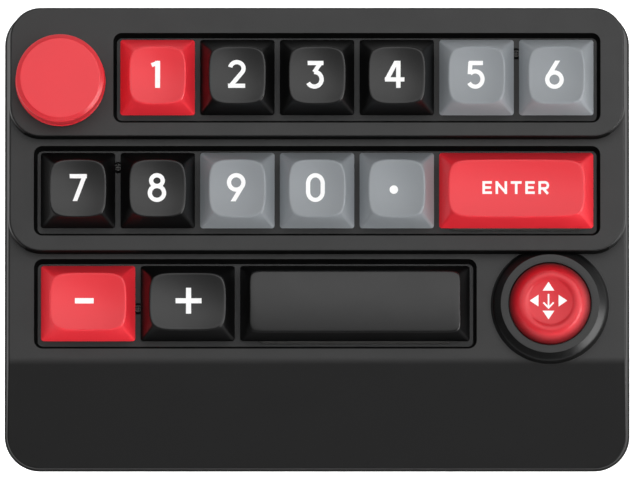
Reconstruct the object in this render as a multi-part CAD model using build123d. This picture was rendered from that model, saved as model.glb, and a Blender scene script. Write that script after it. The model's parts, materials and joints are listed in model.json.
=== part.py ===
from build123d import *
import math
import os
from types import SimpleNamespace

# Key switches, with heights above the switch plate
switch_body = 13.9
switch_spacing = 5.15
switch_fit = 0.05
switch_flange_lip = 0.85
switch_flange_height = 1.0
switch_bottom = 5.0
switch_floor = 1.0
switch_top_lip = 0.25
switch_top_lean = 1.7
switch_top_z = 6.6
switch_ceiling = 1.5
chamber_wall_x = 1.95
chamber_wall_y = 3.45
stem_shoulder_play = 0.5
stem_foot_z = 1.5
stem_ceiling_gap = 0.2
slider_step_x = 1.0
slider_step_y = 0.15
slider_rise = 0.3
slider_clearance = 0.28
cross_length = 4.1
cross_bar_x = 1.17
cross_bar_y = 1.29
cross_height = 3.3
cross_fit = 0.04
seat_gap = 0.05
spring_radius = 2.2
spring_wire = 0.4
peg_radius = 1.95
peg_length = 3.2
peg_fit = 0.1
travel = 4.0

# Keycaps and their rows
key_gap = 1.25
row_units = 7
long_key_units = 1.25
cap_overhang = 1.25
cap_deck_gap = 0.5
cap_height = 8.2
cap_side_lean = 2.15
cap_base_corner = 0.7
cap_top_corner = 3.7
cap_inner_corner = 0.5
cap_wall = 1.4
cap_roof = 2.2
cap_edge = 0.45
dish_depth = 0.75
bar_crown = 0.55
boss_radius = 2.75

# Key wells
well_depth = 5.5
well_clearance = 1.7
well_corner = 1.2
well_draft_inset = 0.85
well_spacing = 5.2
skirt_wall = 1.3

# Case, with its margins in plan at the seam between the two shells
side_margin = 8.225
rear_deck = 7.2
upper_front_strip = 3.63
middle_front_strip = 4.04
palm_strip = 3.0
palm_length = 25.7
palm_front_height = 2.2
palm_bend_radius = 5.5
case_corner = 8.4
tier_corner = 8.6
draft = 3.0
seam_ledge = 0.4
rim_radius = 0.45
wall = 2.1
deck_thickness = 2.0

# Heights
foot_height = 1.5
floor_thickness = 2.0
tray_wall_height = 2.5
peg_floor_gap = 0.6
lower_step = 5.5
upper_step = 5.0

# Stabilisers of the two wide keys, with heights above the switch plate
stabiliser_switch_gap = 1.05
wire_radius = 0.7
wire_bend = 1.3
wire_switch_gap = 0.2
wire_axis_z = 1.1
wire_arm_x = 3.7
wire_hook = 2.0
wire_play = 0.15
guide_half = 2.75
guide_play = 0.25
guide_foot_z = 0.6
guide_wall = 0.9
guide_rear = 6.2
guide_wire_gap = 0.5
guide_rear_rim = 0.8
guide_front_rim = 0.3
guide_rim_height = 1.0
guide_deck_z = 1.8
guide_tower_z = 5.0
guide_bottom = 4.2

# Plates, boards and their screws
plate_thickness = 1.5
plate_side_gap = 2.13
plate_lap = 0.75
plate_corner = 5.0
board_thickness = 1.6
board_boss_gap = 0.6
cable_width = 12.0
cable_thickness = 0.3
cable_overlap = 3.0
post_gap = 0.575
post_play = 0.4
plate_screw_head = 1.3
plate_screw_head_height = 0.9
plate_screw_radius = 0.95
plate_screw_length = 5.0
screw_fit = 0.05
screw_tip_gap = 1.0
upper_screw_back = 6.2
middle_screw_back = 6.0
lower_screw_back = -0.8

# Case screws and feet, with their places measured in from the sides, the rear and the front
case_screw_radius = 1.25
case_screw_head = 2.3
case_screw_head_height = 1.5
case_screw_length = 3.5
case_screw_fit = 0.1
case_boss_radius = 2.6
case_pad_radius = 3.5
rear_screw_inset_x = 16.9
rear_screw_inset_y = 4.4
front_screw_inset_x = 12.9
foot_radius = 5.0
foot_recess = 0.5
rear_foot_inset_x = 12.9
rear_foot_inset_y = 14.8
front_foot_inset_x = 24.9
front_foot_inset_y = 8.8
bottom_edge_radius = 1.0

# Connector in the rear wall
usb_width = 8.94
usb_height = 3.26
usb_length = 7.1
usb_shell = 0.3
usb_depth = 6.2
tongue_width = 6.7
tongue_height = 0.7
tongue_length = 4.6
usb_slot_play = 0.3
usb_recess_width = 12.4
usb_recess_height = 6.8
usb_recess_depth = 1.1
usb_tab_half = 9.0

# Rotary encoder and knob
knob_radius = 10.75
knob_well_gap = 1.85
knob_forward = 0.95
knob_cone = 1.2
knob_height = 10.6
knob_foot = 0.5
knob_band = 1.0
knob_flare = 0.5
knob_edge = 0.7
knob_gap = 0.9
knob_press = 0.5
knob_wall = 1.9
knob_top_wall = 2.6
hub_radius = 4.6
hub_bottom = 1.8
shaft_radius = 3.0
shaft_flat = 1.5
shaft_fit = 0.05
shaft_foot = 0.8
encoder_x = 12.0
encoder_y = 13.0
encoder_height = 6.5
bush_radius = 3.5
bush_above_deck = 1.4
bush_play = 0.4
rotor_radius = 4.7
rotor_foot = 1.4
rotor_height = 2.6
rotor_fit = 0.1
plate_opening_play = 0.6

# Thumb-stick
stick_side_margin = 19.2
stick_forward = 0.3
stick_radius = 9.87
stick_bezel_gap = 0.33
bezel_ring = 1.58
bezel_cone = 2.37
bezel_height = 5.0
bezel_edge = 0.25
bezel_seat = 2.45
bezel_spigot_fit = 0.1
bezel_wall_gap = 0.15
bezel_well_gap = 3.33
stick_pivot_drop = 1.0
stick_skirt = 3.0
stick_wall = 1.55
stick_ridge_inset = 2.77
stick_ridge_round = 1.2
stick_dish_depth = 1.2
stick_dish_slope = 1.5
stick_ceiling = 3.7
stick_socket_radius = 2.4
stick_socket_foot = 2.1
stick_rod = 2.4
stick_rod_top = 4.3
stick_fit = 0.05
stick_press = 0.4
stick_base = 15.0
stick_base_height = 1.5
cheek_inner = 4.55
cheek_outer = 5.85
cheek_half = 2.0
cheek_top = 1.7
button_radius = 1.75
button_height = 0.8
button_play = 0.3
yoke_half_x = 4.2
yoke_half_y = 4.0
yoke_half_z = 1.3
yoke_window_x = 3.05
yoke_window_y = 2.9
yoke_pin = 1.0
cradle_half = 2.6
cradle_half_z = 1.6
cradle_pin = 0.75
pin_end_gap = 0.1

# Switch and keycap sizes worked out from the values above
switch_flange = switch_body + 2 * switch_flange_lip
switch_top_foot = switch_body + 2 * switch_top_lip
switch_top_head = switch_top_foot - 2 * switch_top_lean
chamber_x = switch_body - 2 * chamber_wall_x
chamber_y = switch_body - 2 * chamber_wall_y
stem_shoulder_x = chamber_x - 2 * stem_shoulder_play
stem_shoulder_y = chamber_y - 2 * stem_shoulder_play
stem_shoulder_z = switch_top_z - switch_ceiling - stem_ceiling_gap
slider_x = stem_shoulder_x - 2 * slider_step_x
slider_y = stem_shoulder_y - 2 * slider_step_y
slider_z = switch_top_z + slider_rise
cross_z = slider_z + cross_height
pitch = switch_body + switch_spacing
post_radius = switch_spacing / 2 - post_gap
cap_depth = switch_flange + 2 * cap_overhang
cap_base_z = well_depth + cap_deck_gap
cap_ceiling_z = cap_base_z + cap_height - cap_roof

# Stabiliser sizes worked out
guide_room = guide_half + guide_play
arm_room = wire_arm_x + wire_radius + 2 * wire_play
wire_axis_y = switch_flange / 2 + wire_switch_gap + wire_radius
guide_front = wire_axis_y - wire_radius - guide_wire_gap
enter_stabiliser_reach = switch_body / 2 + stabiliser_switch_gap + guide_room + guide_wall
bar_stabiliser_reach = pitch

# Case sizes and levels worked out
floor_z = foot_height + floor_thickness
seam_z = floor_z + tray_wall_height
lower_plate_z = floor_z + peg_floor_gap + peg_length + switch_bottom
lower_deck_z = lower_plate_z + well_depth
middle_deck_z = lower_deck_z + lower_step
upper_deck_z = middle_deck_z + upper_step
well_half_depth = cap_depth / 2 + well_clearance
row_pitch = 2 * well_half_depth + well_spacing
case_width = row_units * pitch + 2 * side_margin
case_depth = rear_deck + 2 * row_pitch + 2 * well_half_depth + palm_strip + palm_length
rear_y = case_depth / 2
front_y = -case_depth / 2
upper_row_y = rear_y - rear_deck - well_half_depth
middle_row_y = upper_row_y - row_pitch
lower_row_y = middle_row_y - row_pitch
palm_bend_y = front_y + palm_length
palm_slope = math.degrees(math.atan((lower_deck_z - seam_z - palm_front_height) / palm_length))
draft_rise = math.tan(math.radians(draft))
inner_inset = wall + (upper_deck_z - seam_z) * draft_rise
plate_half_width = case_width / 2 - inner_inset - plate_side_gap
plate_half_depth = well_half_depth + plate_lap
rear_screw_x = case_width / 2 - rear_screw_inset_x
rear_screw_y = rear_y - rear_screw_inset_y
front_screw_x = case_width / 2 - front_screw_inset_x
front_screw_y = (front_y + palm_bend_y) / 2
upper_board_rear = rear_screw_y - case_boss_radius - board_boss_gap

# Thumb-stick sizes worked out
bezel_hole_radius = stick_radius + stick_bezel_gap
bezel_top_radius = bezel_hole_radius + bezel_ring
bezel_base_radius = bezel_top_radius + bezel_cone
bezel_spigot_radius = bezel_base_radius - bezel_seat
stick_ridge_radius = stick_radius - stick_ridge_inset
stick_dish_radius = stick_ridge_radius - stick_dish_slope
stick_x = case_width / 2 - stick_side_margin
stick_y = lower_row_y - stick_forward
pivot_z = lower_deck_z + bezel_height - stick_pivot_drop
button_top_z = lower_plate_z + stick_base_height + button_height
stick_rod_foot = pivot_z - button_top_z - stick_press - button_play


def box(x0, x1, y0, y1, z0, z1):
    return Pos((x0 + x1) / 2, (y0 + y1) / 2, (z0 + z1) / 2) * Box(x1 - x0, y1 - y0, z1 - z0)


def disc(x, y, z0, z1, radius):
    return Pos(x, y, (z0 + z1) / 2) * Cylinder(radius, z1 - z0)


def rounded(width, depth, radius, x=0.0, y=0.0, z=0.0):
    return Pos(x, y, z) * RectangleRounded(width, depth, radius)


def row(name, y, deck, left, keys, front):
    """One tier: its levels, and its keys laid side by side from the left end of the row."""
    tier = SimpleNamespace(name=name, y=y, deck=deck, plate=deck - well_depth, front=y - front, keys=[])
    tier.board = tier.plate - switch_bottom
    tier.left = left + key_gap / 2 - well_clearance
    for key_name, units in keys:
        cell = units * pitch
        key = SimpleNamespace(name=key_name, x=left + cell / 2, y=y, width=cell - key_gap, plate=tier.plate)
        tier.keys.append(key)
        left += cell
    tier.right = left - key_gap / 2 + well_clearance
    return tier


# The upper row ends level with the middle one, and the bar fills the lower row up to the thumb-stick's bezel
row_end = row_units * pitch / 2
bar_start = -row_end + 2 * long_key_units * pitch
bar_end = stick_x - bezel_base_radius - bezel_well_gap - well_clearance + key_gap / 2
bar_units = (bar_end - bar_start) / pitch
upper_names = ("1", "2", "3", "4", "5", "6")
upper = row("upper", upper_row_y, upper_deck_z, row_end - len(upper_names) * pitch,
            [(name, 1) for name in upper_names], well_half_depth + upper_front_strip)
middle = row("middle", middle_row_y, middle_deck_z, -row_end,
             [(name, 1) for name in ("7", "8", "9", "0", "point")] + [("enter", 2)],
             well_half_depth + middle_front_strip)
lower = row("lower", lower_row_y, lower_deck_z, -row_end,
            [("minus", long_key_units), ("plus", long_key_units), ("bar", bar_units)], 0.0)
tiers = [upper, middle, lower]
all_keys = [key for tier in tiers for key in tier.keys]
wide_keys = {"enter": enter_stabiliser_reach, "bar": bar_stabiliser_reach}

knob_x = upper.left - knob_well_gap - knob_radius
knob_y = upper.y - knob_forward
knob_top_radius = knob_radius - knob_cone

# Posts that carry the plates: the first of each tier takes the plate's screw
screw_posts = {
    "upper": (upper.keys[4].x + pitch / 2, upper.y + upper_screw_back),
    "middle": (middle.keys[0].x + pitch / 2, middle.y + middle_screw_back),
    "lower": ((lower.keys[0].x + lower.keys[1].x) / 2, lower.y + lower_screw_back),
}
plain_posts = {
    "upper": [(upper.keys[0].x + pitch / 2, upper.y)],
    "middle": [(middle.keys[3].x + pitch / 2, middle.y)],
    "lower": [((lower.keys[1].x + lower.keys[2].x - bar_stabiliser_reach) / 2, lower.y),
              (lower.right + post_radius, lower.y)],
}
case_screw_places = [(side * x, y) for x, y in ((rear_screw_x, rear_screw_y), (front_screw_x, front_screw_y))
                     for side in (-1, 1)]
foot_places = [(side * (case_width / 2 - inset), y) for side in (-1, 1)
               for inset, y in ((rear_foot_inset_x, rear_y - rear_foot_inset_y),
                                (front_foot_inset_x, front_y + front_foot_inset_y))]


def plan(y0, y1, front_radius, rear_radius, inset=0.0):
    """Rounded outline of the case between two depths, drawn in by an inset at the sides."""
    outline = Pos(0, (y0 + y1) / 2) * Rectangle(case_width - 2 * inset, y1 - y0)
    outline = fillet(outline.vertices().sort_by(Axis.Y)[:2], front_radius)
    return fillet(outline.vertices().sort_by(Axis.Y)[-2:], rear_radius)


def palm_cut(drop):
    """Everything above the palm rest's slope, lowered by a drop; the bend to the deck is an arc."""
    top = lower_deck_z + 2 * well_depth
    reach = 2 * abs(front_y) + palm_bend_y
    fall = reach * math.tan(math.radians(palm_slope))
    bend = (palm_bend_y, lower_deck_z - drop)
    rear = palm_bend_y + 2 * palm_bend_radius
    end = (bend[0] - reach, bend[1] - fall)
    side = Polyline((rear, top), (rear, bend[1]), bend, end, (end[0], top), close=True)
    profile = make_face(side)
    corner = profile.vertices().sort_by_distance((bend[0], bend[1], 0))[:1]
    profile = fillet(corner, palm_bend_radius)
    return extrude(Plane.YZ * profile, amount=case_width, both=True)


def rim_edges(solid):
    """Outer edges of the faces that look upwards."""
    tops = [face for face in solid.faces() if face.normal_at().Z > 0.5]
    edges = [edge for face in tops for edge in face.edges()]
    spots = [tuple(round(value, 3) for value in edge.center()) for edge in edges]
    return [edge for edge, spot in zip(edges, spots) if spots.count(spot) == 1]


def outer_block(foot_y, foot_z, top_z, front_radius):
    """Drafted block from the seam up to one deck, standing in from the tray by the ledge at its sides.

    Its front wall's foot is at foot_y on the deck below.
    """
    start = foot_y - (foot_z - seam_z) * draft_rise
    outline = plan(start, rear_y, front_radius, case_corner, seam_ledge)
    return extrude(Pos(0, 0, seam_z) * outline, amount=top_z - seam_z, taper=draft)


def well(tier):
    """Key well: a rounded opening whose walls draw in towards the plate."""
    width = tier.right - tier.left
    lean = math.degrees(math.atan(well_draft_inset / well_depth))
    x = (tier.left + tier.right) / 2
    mouth = rounded(width, 2 * well_half_depth, well_corner + well_draft_inset, x, tier.y, tier.deck)
    return extrude(mouth, amount=-well_depth, taper=lean)


def skirt(tier):
    """Wall round a key well, from the deck down to the plate that it holds."""
    width = tier.right - tier.left + 2 * skirt_wall
    depth = 2 * (well_half_depth + skirt_wall)
    x = (tier.left + tier.right) / 2
    outline = rounded(width, depth, well_corner + skirt_wall, x, tier.y, tier.plate)
    return extrude(outline, amount=well_depth - deck_thickness / 2)


def usb_middle():
    return upper.board + usb_height / 2


def usb_mouth_y():
    return rear_y - (usb_middle() - seam_z) * draft_rise - usb_recess_depth


def top_case():
    deck = outer_block(front_y + seam_ledge, seam_z, lower_deck_z, case_corner - seam_ledge) - palm_cut(0)
    deck = fillet(rim_edges(deck), rim_radius)
    shell = deck
    for tier, below in ((middle, lower_deck_z), (upper, middle_deck_z)):
        block = outer_block(tier.front, below, tier.deck, tier_corner)
        shell += fillet(block.faces().sort_by(Axis.Z)[-1].edges(), rim_radius)

    # The inside follows the decks, one deck thickness below them
    inner_rear = rear_y - inner_inset
    inner_corner = case_corner - wall
    room = plan(front_y + inner_inset, inner_rear, inner_corner, inner_corner, inner_inset)
    inner = extrude(Pos(0, 0, seam_z) * room, amount=lower_deck_z - deck_thickness - seam_z)
    inner -= palm_cut(deck_thickness / math.cos(math.radians(palm_slope)))
    for tier in (middle, upper):
        start = tier.front + wall + upper_step * draft_rise
        room = plan(start, inner_rear, inner_corner, inner_corner, inner_inset)
        inner += extrude(Pos(0, 0, seam_z) * room, amount=tier.deck - deck_thickness - seam_z)
    shell -= inner

    for tier in tiers:
        shell += skirt(tier)
    for x, y in case_screw_places:
        top = upper.board if y > 0 else lower_deck_z
        shell += disc(x, y, seam_z, top, case_boss_radius) - palm_cut(deck_thickness / 2)
    for tier in tiers:
        shell -= well(tier)
    for x, y in case_screw_places:
        shell -= disc(x, y, seam_z, seam_z + case_screw_length + screw_tip_gap, case_screw_radius + screw_fit)

    shell -= disc(knob_x, knob_y, upper_deck_z - 2 * deck_thickness, upper_deck_z, bush_radius + bush_play)
    shell -= disc(stick_x, stick_y, lower_deck_z - 2 * deck_thickness, lower_deck_z,
                  bezel_spigot_radius + bezel_spigot_fit)
    shell -= usb_cut(usb_width + 2 * usb_slot_play, usb_height + 2 * usb_slot_play, inner_rear - wall)
    shell -= usb_cut(usb_recess_width, usb_recess_height, usb_mouth_y())
    return shell


def usb_cut(width, height, from_y):
    """Rounded opening for the connector, from a depth inside the rear wall out past it."""
    outline = Plane((0, from_y, usb_middle()), x_dir=(1, 0, 0), z_dir=(0, 1, 0)) * SlotOverall(width, height)
    return extrude(outline, amount=rear_y - from_y + wall)


def bottom_case():
    outline = plan(front_y, rear_y, case_corner, case_corner)
    tray = extrude(Pos(0, 0, seam_z) * outline, amount=-(seam_z - foot_height), taper=draft)
    tray = fillet(tray.faces().sort_by(Axis.Z)[0].edges(), bottom_edge_radius)
    inner_corner = case_corner - wall
    inner = plan(front_y + inner_inset, rear_y - inner_inset, inner_corner, inner_corner, inner_inset)
    tray -= extrude(Pos(0, 0, floor_z) * inner, amount=seam_z - floor_z)
    for tier in tiers:
        for x, y in [screw_posts[tier.name], *plain_posts[tier.name]]:
            tray += disc(x, y, floor_z, tier.plate - plate_thickness, post_radius)
        x, y = screw_posts[tier.name]
        top = tier.plate - plate_thickness
        tray -= disc(x, y, top - plate_screw_length - screw_tip_gap, top, plate_screw_radius + screw_fit)
    for x, y in case_screw_places:
        tray += disc(x, y, floor_z, seam_z, case_pad_radius)
    for x, y in case_screw_places:
        head_top = foot_height + case_screw_head_height
        tray -= disc(x, y, foot_height, head_top, case_screw_head + case_screw_fit)
        tray -= disc(x, y, head_top, seam_z, case_screw_radius + case_screw_fit)
    for x, y in foot_places:
        tray -= disc(x, y, foot_height, foot_height + foot_recess, foot_radius)
    return tray


def switch_plate(tier):
    hole = switch_body + 2 * switch_fit
    low = tier.plate - plate_thickness
    outline = rounded(2 * plate_half_width, 2 * plate_half_depth, plate_corner, 0.0, tier.y, low)
    sheet = extrude(outline, amount=plate_thickness)
    for key in tier.keys:
        sheet -= Pos(key.x, key.y, low + plate_thickness / 2) * Box(hole, hole, plate_thickness)
        for side in stabiliser_sides(key):
            sheet -= stabiliser_block(key, side, low, tier.plate, switch_fit)
    x, y = screw_posts[tier.name]
    sheet -= disc(x, y, low, tier.plate, plate_screw_radius + post_play)
    if tier is upper:
        width, depth = encoder_x + 2 * plate_opening_play, encoder_y + 2 * plate_opening_play
        sheet -= Pos(knob_x, knob_y, low + plate_thickness / 2) * Box(width, depth, plate_thickness)
    return sheet


def circuit_board(tier):
    low = tier.board - board_thickness
    rear = upper_board_rear if tier is upper else tier.y + plate_half_depth
    board = box(-plate_half_width, plate_half_width, tier.y - plate_half_depth, rear, low, tier.board)
    if tier is upper:
        board += box(-usb_tab_half, usb_tab_half, rear, usb_mouth_y() - wall, low, tier.board)
    for key in tier.keys:
        board -= disc(key.x, key.y, low, tier.board, peg_radius + peg_fit)
    for x, y in [screw_posts[tier.name], *plain_posts[tier.name]]:
        board -= disc(x, y, low, tier.board, post_radius + post_play)
    return board


def flat_cables():
    """Folded strips that join each board to the next one up, in the gap between their edges."""
    strips = []
    half = cable_width / 2
    for below, above in ((lower, middle), (middle, upper)):
        rear_edge = below.y + plate_half_depth
        front_edge = above.y - plate_half_depth
        rise = (rear_edge + front_edge) / 2
        fold = rise + cable_thickness
        low, high = below.board, above.board
        strip = box(-half, half, rear_edge - cable_overlap, fold, low, low + cable_thickness)
        strip += box(-half, half, rise, fold, low, high + cable_thickness)
        strip += box(-half, half, rise, front_edge + cable_overlap, high, high + cable_thickness)
        strips.append(strip)
    return group(strips)


def switch_base(key):
    z = key.plate
    body = Pos(key.x, key.y, z - switch_bottom / 2) * Box(switch_body, switch_body, switch_bottom)
    flange = Box(switch_flange, switch_flange, switch_flange_height)
    body += Pos(key.x, key.y, z + switch_flange_height / 2) * flange
    chamber = switch_bottom - switch_floor + switch_flange_height
    chamber_z = z + switch_flange_height - chamber / 2
    body -= Pos(key.x, key.y, chamber_z) * Box(chamber_x, chamber_y, chamber)
    return body + disc(key.x, key.y, z - switch_bottom - peg_length, z - switch_bottom, peg_radius)


def switch_top(key):
    foot = key.plate + switch_flange_height
    head = key.plate + switch_top_z
    sections = [Pos(key.x, key.y, foot) * Rectangle(switch_top_foot, switch_top_foot),
                Pos(key.x, key.y, head) * Rectangle(switch_top_head, switch_top_head)]
    body = loft(sections, ruled=True)
    room = head - switch_ceiling - foot
    body -= Pos(key.x, key.y, foot + room / 2) * Box(chamber_x, chamber_y, room)
    opening = (slider_x + 2 * slider_clearance, slider_y + 2 * slider_clearance)
    return body - Pos(key.x, key.y, head - switch_ceiling / 2) * Box(*opening, switch_ceiling)


def switch_spring(key):
    foot = key.plate - switch_bottom + switch_floor
    top = key.plate + stem_foot_z
    sleeve = disc(key.x, key.y, foot, top, spring_radius)
    return sleeve - disc(key.x, key.y, foot, top, spring_radius - spring_wire)


def cross_plan(fit=0.0):
    length = cross_length + 2 * fit
    return Rectangle(length, cross_bar_x + 2 * fit) + Rectangle(cross_bar_y + 2 * fit, length)


def switch_stem(key):
    z = key.plate
    height = stem_shoulder_z - stem_foot_z
    stem = Pos(key.x, key.y, z + stem_foot_z + height / 2) * Box(stem_shoulder_x, stem_shoulder_y, height)
    neck = slider_z - stem_shoulder_z
    stem += Pos(key.x, key.y, z + stem_shoulder_z + neck / 2) * Box(slider_x, slider_y, neck)
    return stem + extrude(Pos(key.x, key.y, z + slider_z) * cross_plan(), amount=cross_z - slider_z)


def stabiliser_sides(key):
    return (-1, 1) if key.name in wide_keys else ()


def stabiliser_x(key, side):
    return key.x + side * wide_keys[key.name]


def spread(key, side, inner, outer):
    """Two x values of a stabiliser feature, given as reaches towards and away from the key's middle."""
    x = stabiliser_x(key, side)
    return sorted((x - side * inner, x + side * outer))


def stabiliser_block(key, side, z0, z1, fit=0.0):
    x0, x1 = spread(key, side, guide_room + guide_wall, arm_room + guide_wall)
    return box(x0 - fit, x1 + fit, key.y - guide_front - fit, key.y + guide_rear + fit, z0, z1)


def stabiliser_housing(key, side):
    z = key.plate
    body = stabiliser_block(key, side, z - guide_bottom, z + guide_deck_z)
    x0, x1 = spread(key, side, guide_room + guide_wall, arm_room + guide_wall)
    lip_front = key.y - guide_front - guide_front_rim
    lip_rear = key.y + guide_rear + guide_rear_rim
    body += box(x0, x1, lip_front, lip_rear, z, z + guide_rim_height)
    x0, x1 = spread(key, side, guide_room + guide_wall, guide_room)
    tower = guide_room + guide_wall
    body += box(x0, x1, key.y - tower, key.y + tower, z + guide_deck_z, z + guide_tower_z)
    floor = z - guide_bottom + guide_wall / 2
    x0, x1 = spread(key, side, guide_room, guide_room)
    body -= box(x0, x1, key.y - guide_room, key.y + guide_room, floor, z + guide_tower_z)
    x0, x1 = spread(key, side, -guide_half, arm_room)
    hook_room = wire_radius + 4 * wire_play
    body -= box(x0, x1, lip_front, key.y + hook_room, floor, z + guide_tower_z)
    return body


def stabiliser_stem(key, side):
    z = key.plate
    x = stabiliser_x(key, side)
    height = slider_z - guide_foot_z
    stem = Pos(x, key.y, z + guide_foot_z + height / 2) * Box(2 * guide_half, 2 * guide_half, height)
    rest_z = z + wire_axis_z + travel / 2
    sway = wire_length() - wire_axis_y
    slot = 2 * (wire_radius + wire_play)
    stem -= Pos(x, key.y + sway / 2, rest_z) * Box(2 * guide_half, slot + sway, slot)
    return stem + extrude(Pos(x, key.y, z + slider_z) * cross_plan(), amount=cross_z - slider_z)


def wire_length():
    return math.hypot(wire_axis_y, travel / 2)


def stabiliser_wire(key):
    """Bent wire: a long run on the pivot line, two arms that rise to the stems, and hooks into them."""
    reach = wide_keys[key.name]
    pivot = (key.y - wire_axis_y, key.plate + wire_axis_z)
    hook = (key.y, pivot[1] + travel / 2)
    points = []
    for side in (-1, 1):
        arm = key.x + side * (reach + wire_arm_x)
        end = key.x + side * (reach - wire_hook)
        leg = [(end, *hook), (arm, *hook), (arm, *pivot)]
        points += leg if side < 0 else leg[::-1]
    path = FilletPolyline(*points, radius=wire_bend)
    section = Plane(origin=path @ 0, z_dir=path % 0) * Circle(wire_radius)
    return sweep(section, path=path)


def stems(key):
    solids = [switch_stem(key)] + [stabiliser_stem(key, side) for side in stabiliser_sides(key)]
    return solids[0] if len(solids) == 1 else Compound(children=[s for part in solids for s in part.solids()])


def cap_shell(key, inset, z0, z1):
    """Tapered keycap body between two heights, drawn in by a wall thickness."""
    sections = []
    for z in (z0, z1):
        share = (z - cap_base_z) / cap_height
        lean = 2 * (inset + share * cap_side_lean)
        outer_corner = cap_base_corner + share * (cap_top_corner - cap_base_corner)
        corner = cap_inner_corner if inset else outer_corner
        sections.append(rounded(key.width - lean, cap_depth - lean, corner, key.x, key.y, key.plate + z))
    return loft(sections, ruled=True)


def dish(key):
    """Lens that hollows the top: an arc across the key, swept along a second arc along it."""
    half_y = cap_depth / 2 - cap_side_lean
    half_x = key.width / 2 - cap_side_lean
    across = half_y ** 2 / (2 * dish_depth)
    along = half_x ** 2 / (2 * dish_depth)
    low = key.plate + cap_base_z + cap_height - 2 * dish_depth
    reach = 2 * half_y
    rise = across - math.sqrt(across ** 2 - reach ** 2)
    arc = ThreePointArc((-reach, rise), (0, 0), (reach, rise))
    profile = make_face([arc, Line(arc @ 1, arc @ 0)])
    lens = Plane((key.x, key.y, low), x_dir=(0, 1, 0), z_dir=(1, 0, 0)) * profile
    axis = Axis((key.x, key.y, low + along), (0, 1, 0))
    swing = 2 * math.degrees(math.asin(min(1.0, 2 * half_x / along)))
    return revolve(lens.rotate(axis, -swing / 2), axis=axis, revolution_arc=swing)


def crown(key):
    """Everything above the bar's gently rounded top."""
    half = cap_depth / 2
    peak = key.plate + cap_base_z + cap_height
    radius = half ** 2 / (2 * bar_crown)
    sag = radius - math.sqrt(radius ** 2 - half ** 2)
    arc = ThreePointArc((-half, -sag), (0, 0), (half, -sag))
    lid = make_face([arc, Polyline(arc @ 1, (half, cap_height), (-half, cap_height), arc @ 0)])
    across = Plane((key.x, key.y, peak), x_dir=(0, 1, 0), z_dir=(1, 0, 0))
    return extrude(across * lid, amount=key.width, both=True)


def keycap(key):
    z = key.plate
    cap = cap_shell(key, 0.0, cap_base_z, cap_base_z + cap_height)
    cap -= crown(key) if key.name == "bar" else dish(key)
    cap = fillet(top_edges(cap, z + cap_base_z + cap_height / 2), cap_edge)
    cap -= cap_shell(key, cap_wall, cap_base_z, cap_ceiling_z)
    boss_foot = z + slider_z + seat_gap
    for x in [key.x] + [stabiliser_x(key, side) for side in stabiliser_sides(key)]:
        cap += disc(x, key.y, boss_foot, z + cap_ceiling_z, boss_radius)
        socket = Pos(x, key.y, boss_foot) * cross_plan(cross_fit)
        cap -= extrude(socket, amount=cross_z + seat_gap - slider_z)
    return cap


def top_edges(solid, above):
    """Edges that bound the top face."""
    high = [face for face in solid.faces() if face.center().Z > above]
    return max(high, key=lambda face: face.area).edges()


def group(parts):
    return Compound(children=[solid for part in parts for solid in part.solids()])


def plate_screw(tier):
    x, y = screw_posts[tier.name]
    head = disc(x, y, tier.plate, tier.plate + plate_screw_head_height, plate_screw_head)
    shank = disc(x, y, tier.plate - plate_thickness - plate_screw_length, tier.plate, plate_screw_radius)
    return head + shank


def case_screw(x, y):
    head_top = foot_height + case_screw_head_height
    head = disc(x, y, foot_height, head_top, case_screw_head)
    return head + disc(x, y, head_top, seam_z + case_screw_length, case_screw_radius)


def rubber_foot(x, y):
    return disc(x, y, 0, foot_height + foot_recess, foot_radius)


def usb_socket():
    mouth = usb_mouth_y()
    face = Plane((0, mouth, usb_middle()), x_dir=(1, 0, 0), z_dir=(0, -1, 0))
    shell = extrude(face * SlotOverall(usb_width, usb_height), amount=usb_length)
    inner = SlotOverall(usb_width - 2 * usb_shell, usb_height - 2 * usb_shell)
    shell -= extrude(face * inner, amount=usb_depth)
    root = mouth - usb_depth
    z = usb_middle()
    half = tongue_height / 2
    return shell + box(-tongue_width / 2, tongue_width / 2, root, root + tongue_length, z - half, z + half)


def encoder_body():
    z = upper.board
    body = Pos(knob_x, knob_y, z + encoder_height / 2) * Box(encoder_x, encoder_y, encoder_height)
    body += disc(knob_x, knob_y, z + encoder_height, upper_deck_z + bush_above_deck, bush_radius)
    body -= disc(knob_x, knob_y, z, upper_deck_z + bush_above_deck, shaft_radius + shaft_fit)
    low = z + rotor_foot - rotor_fit
    return body - disc(knob_x, knob_y, low, low + rotor_height + 2 * rotor_fit, rotor_radius + rotor_fit)


def flatted(z0, z1, radius, flat):
    """Round bar with a flat on its right side."""
    bar = disc(knob_x, knob_y, z0, z1, radius)
    return bar - box(knob_x + flat, knob_x + 2 * radius, knob_y - 2 * radius, knob_y + 2 * radius, z0, z1)


def encoder_rotor():
    low = upper.board + rotor_foot
    ring = disc(knob_x, knob_y, low, low + rotor_height, rotor_radius)
    return ring - flatted(low, low + rotor_height, shaft_radius + shaft_fit, shaft_flat + shaft_fit)


def knob_bottom():
    return upper_deck_z + knob_gap


def shaft_top():
    return knob_bottom() + knob_height - knob_top_wall


def encoder_shaft():
    keyed = upper.board + rotor_foot + rotor_height + rotor_fit
    hub = knob_bottom() + hub_bottom
    shaft = flatted(upper.board + shaft_foot, keyed, shaft_radius, shaft_flat)
    shaft += disc(knob_x, knob_y, keyed + knob_press, hub, shaft_radius)
    shaft += flatted(keyed, keyed + knob_press, shaft_radius, shaft_flat)
    return shaft + flatted(hub, shaft_top(), shaft_radius, shaft_flat)


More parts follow.
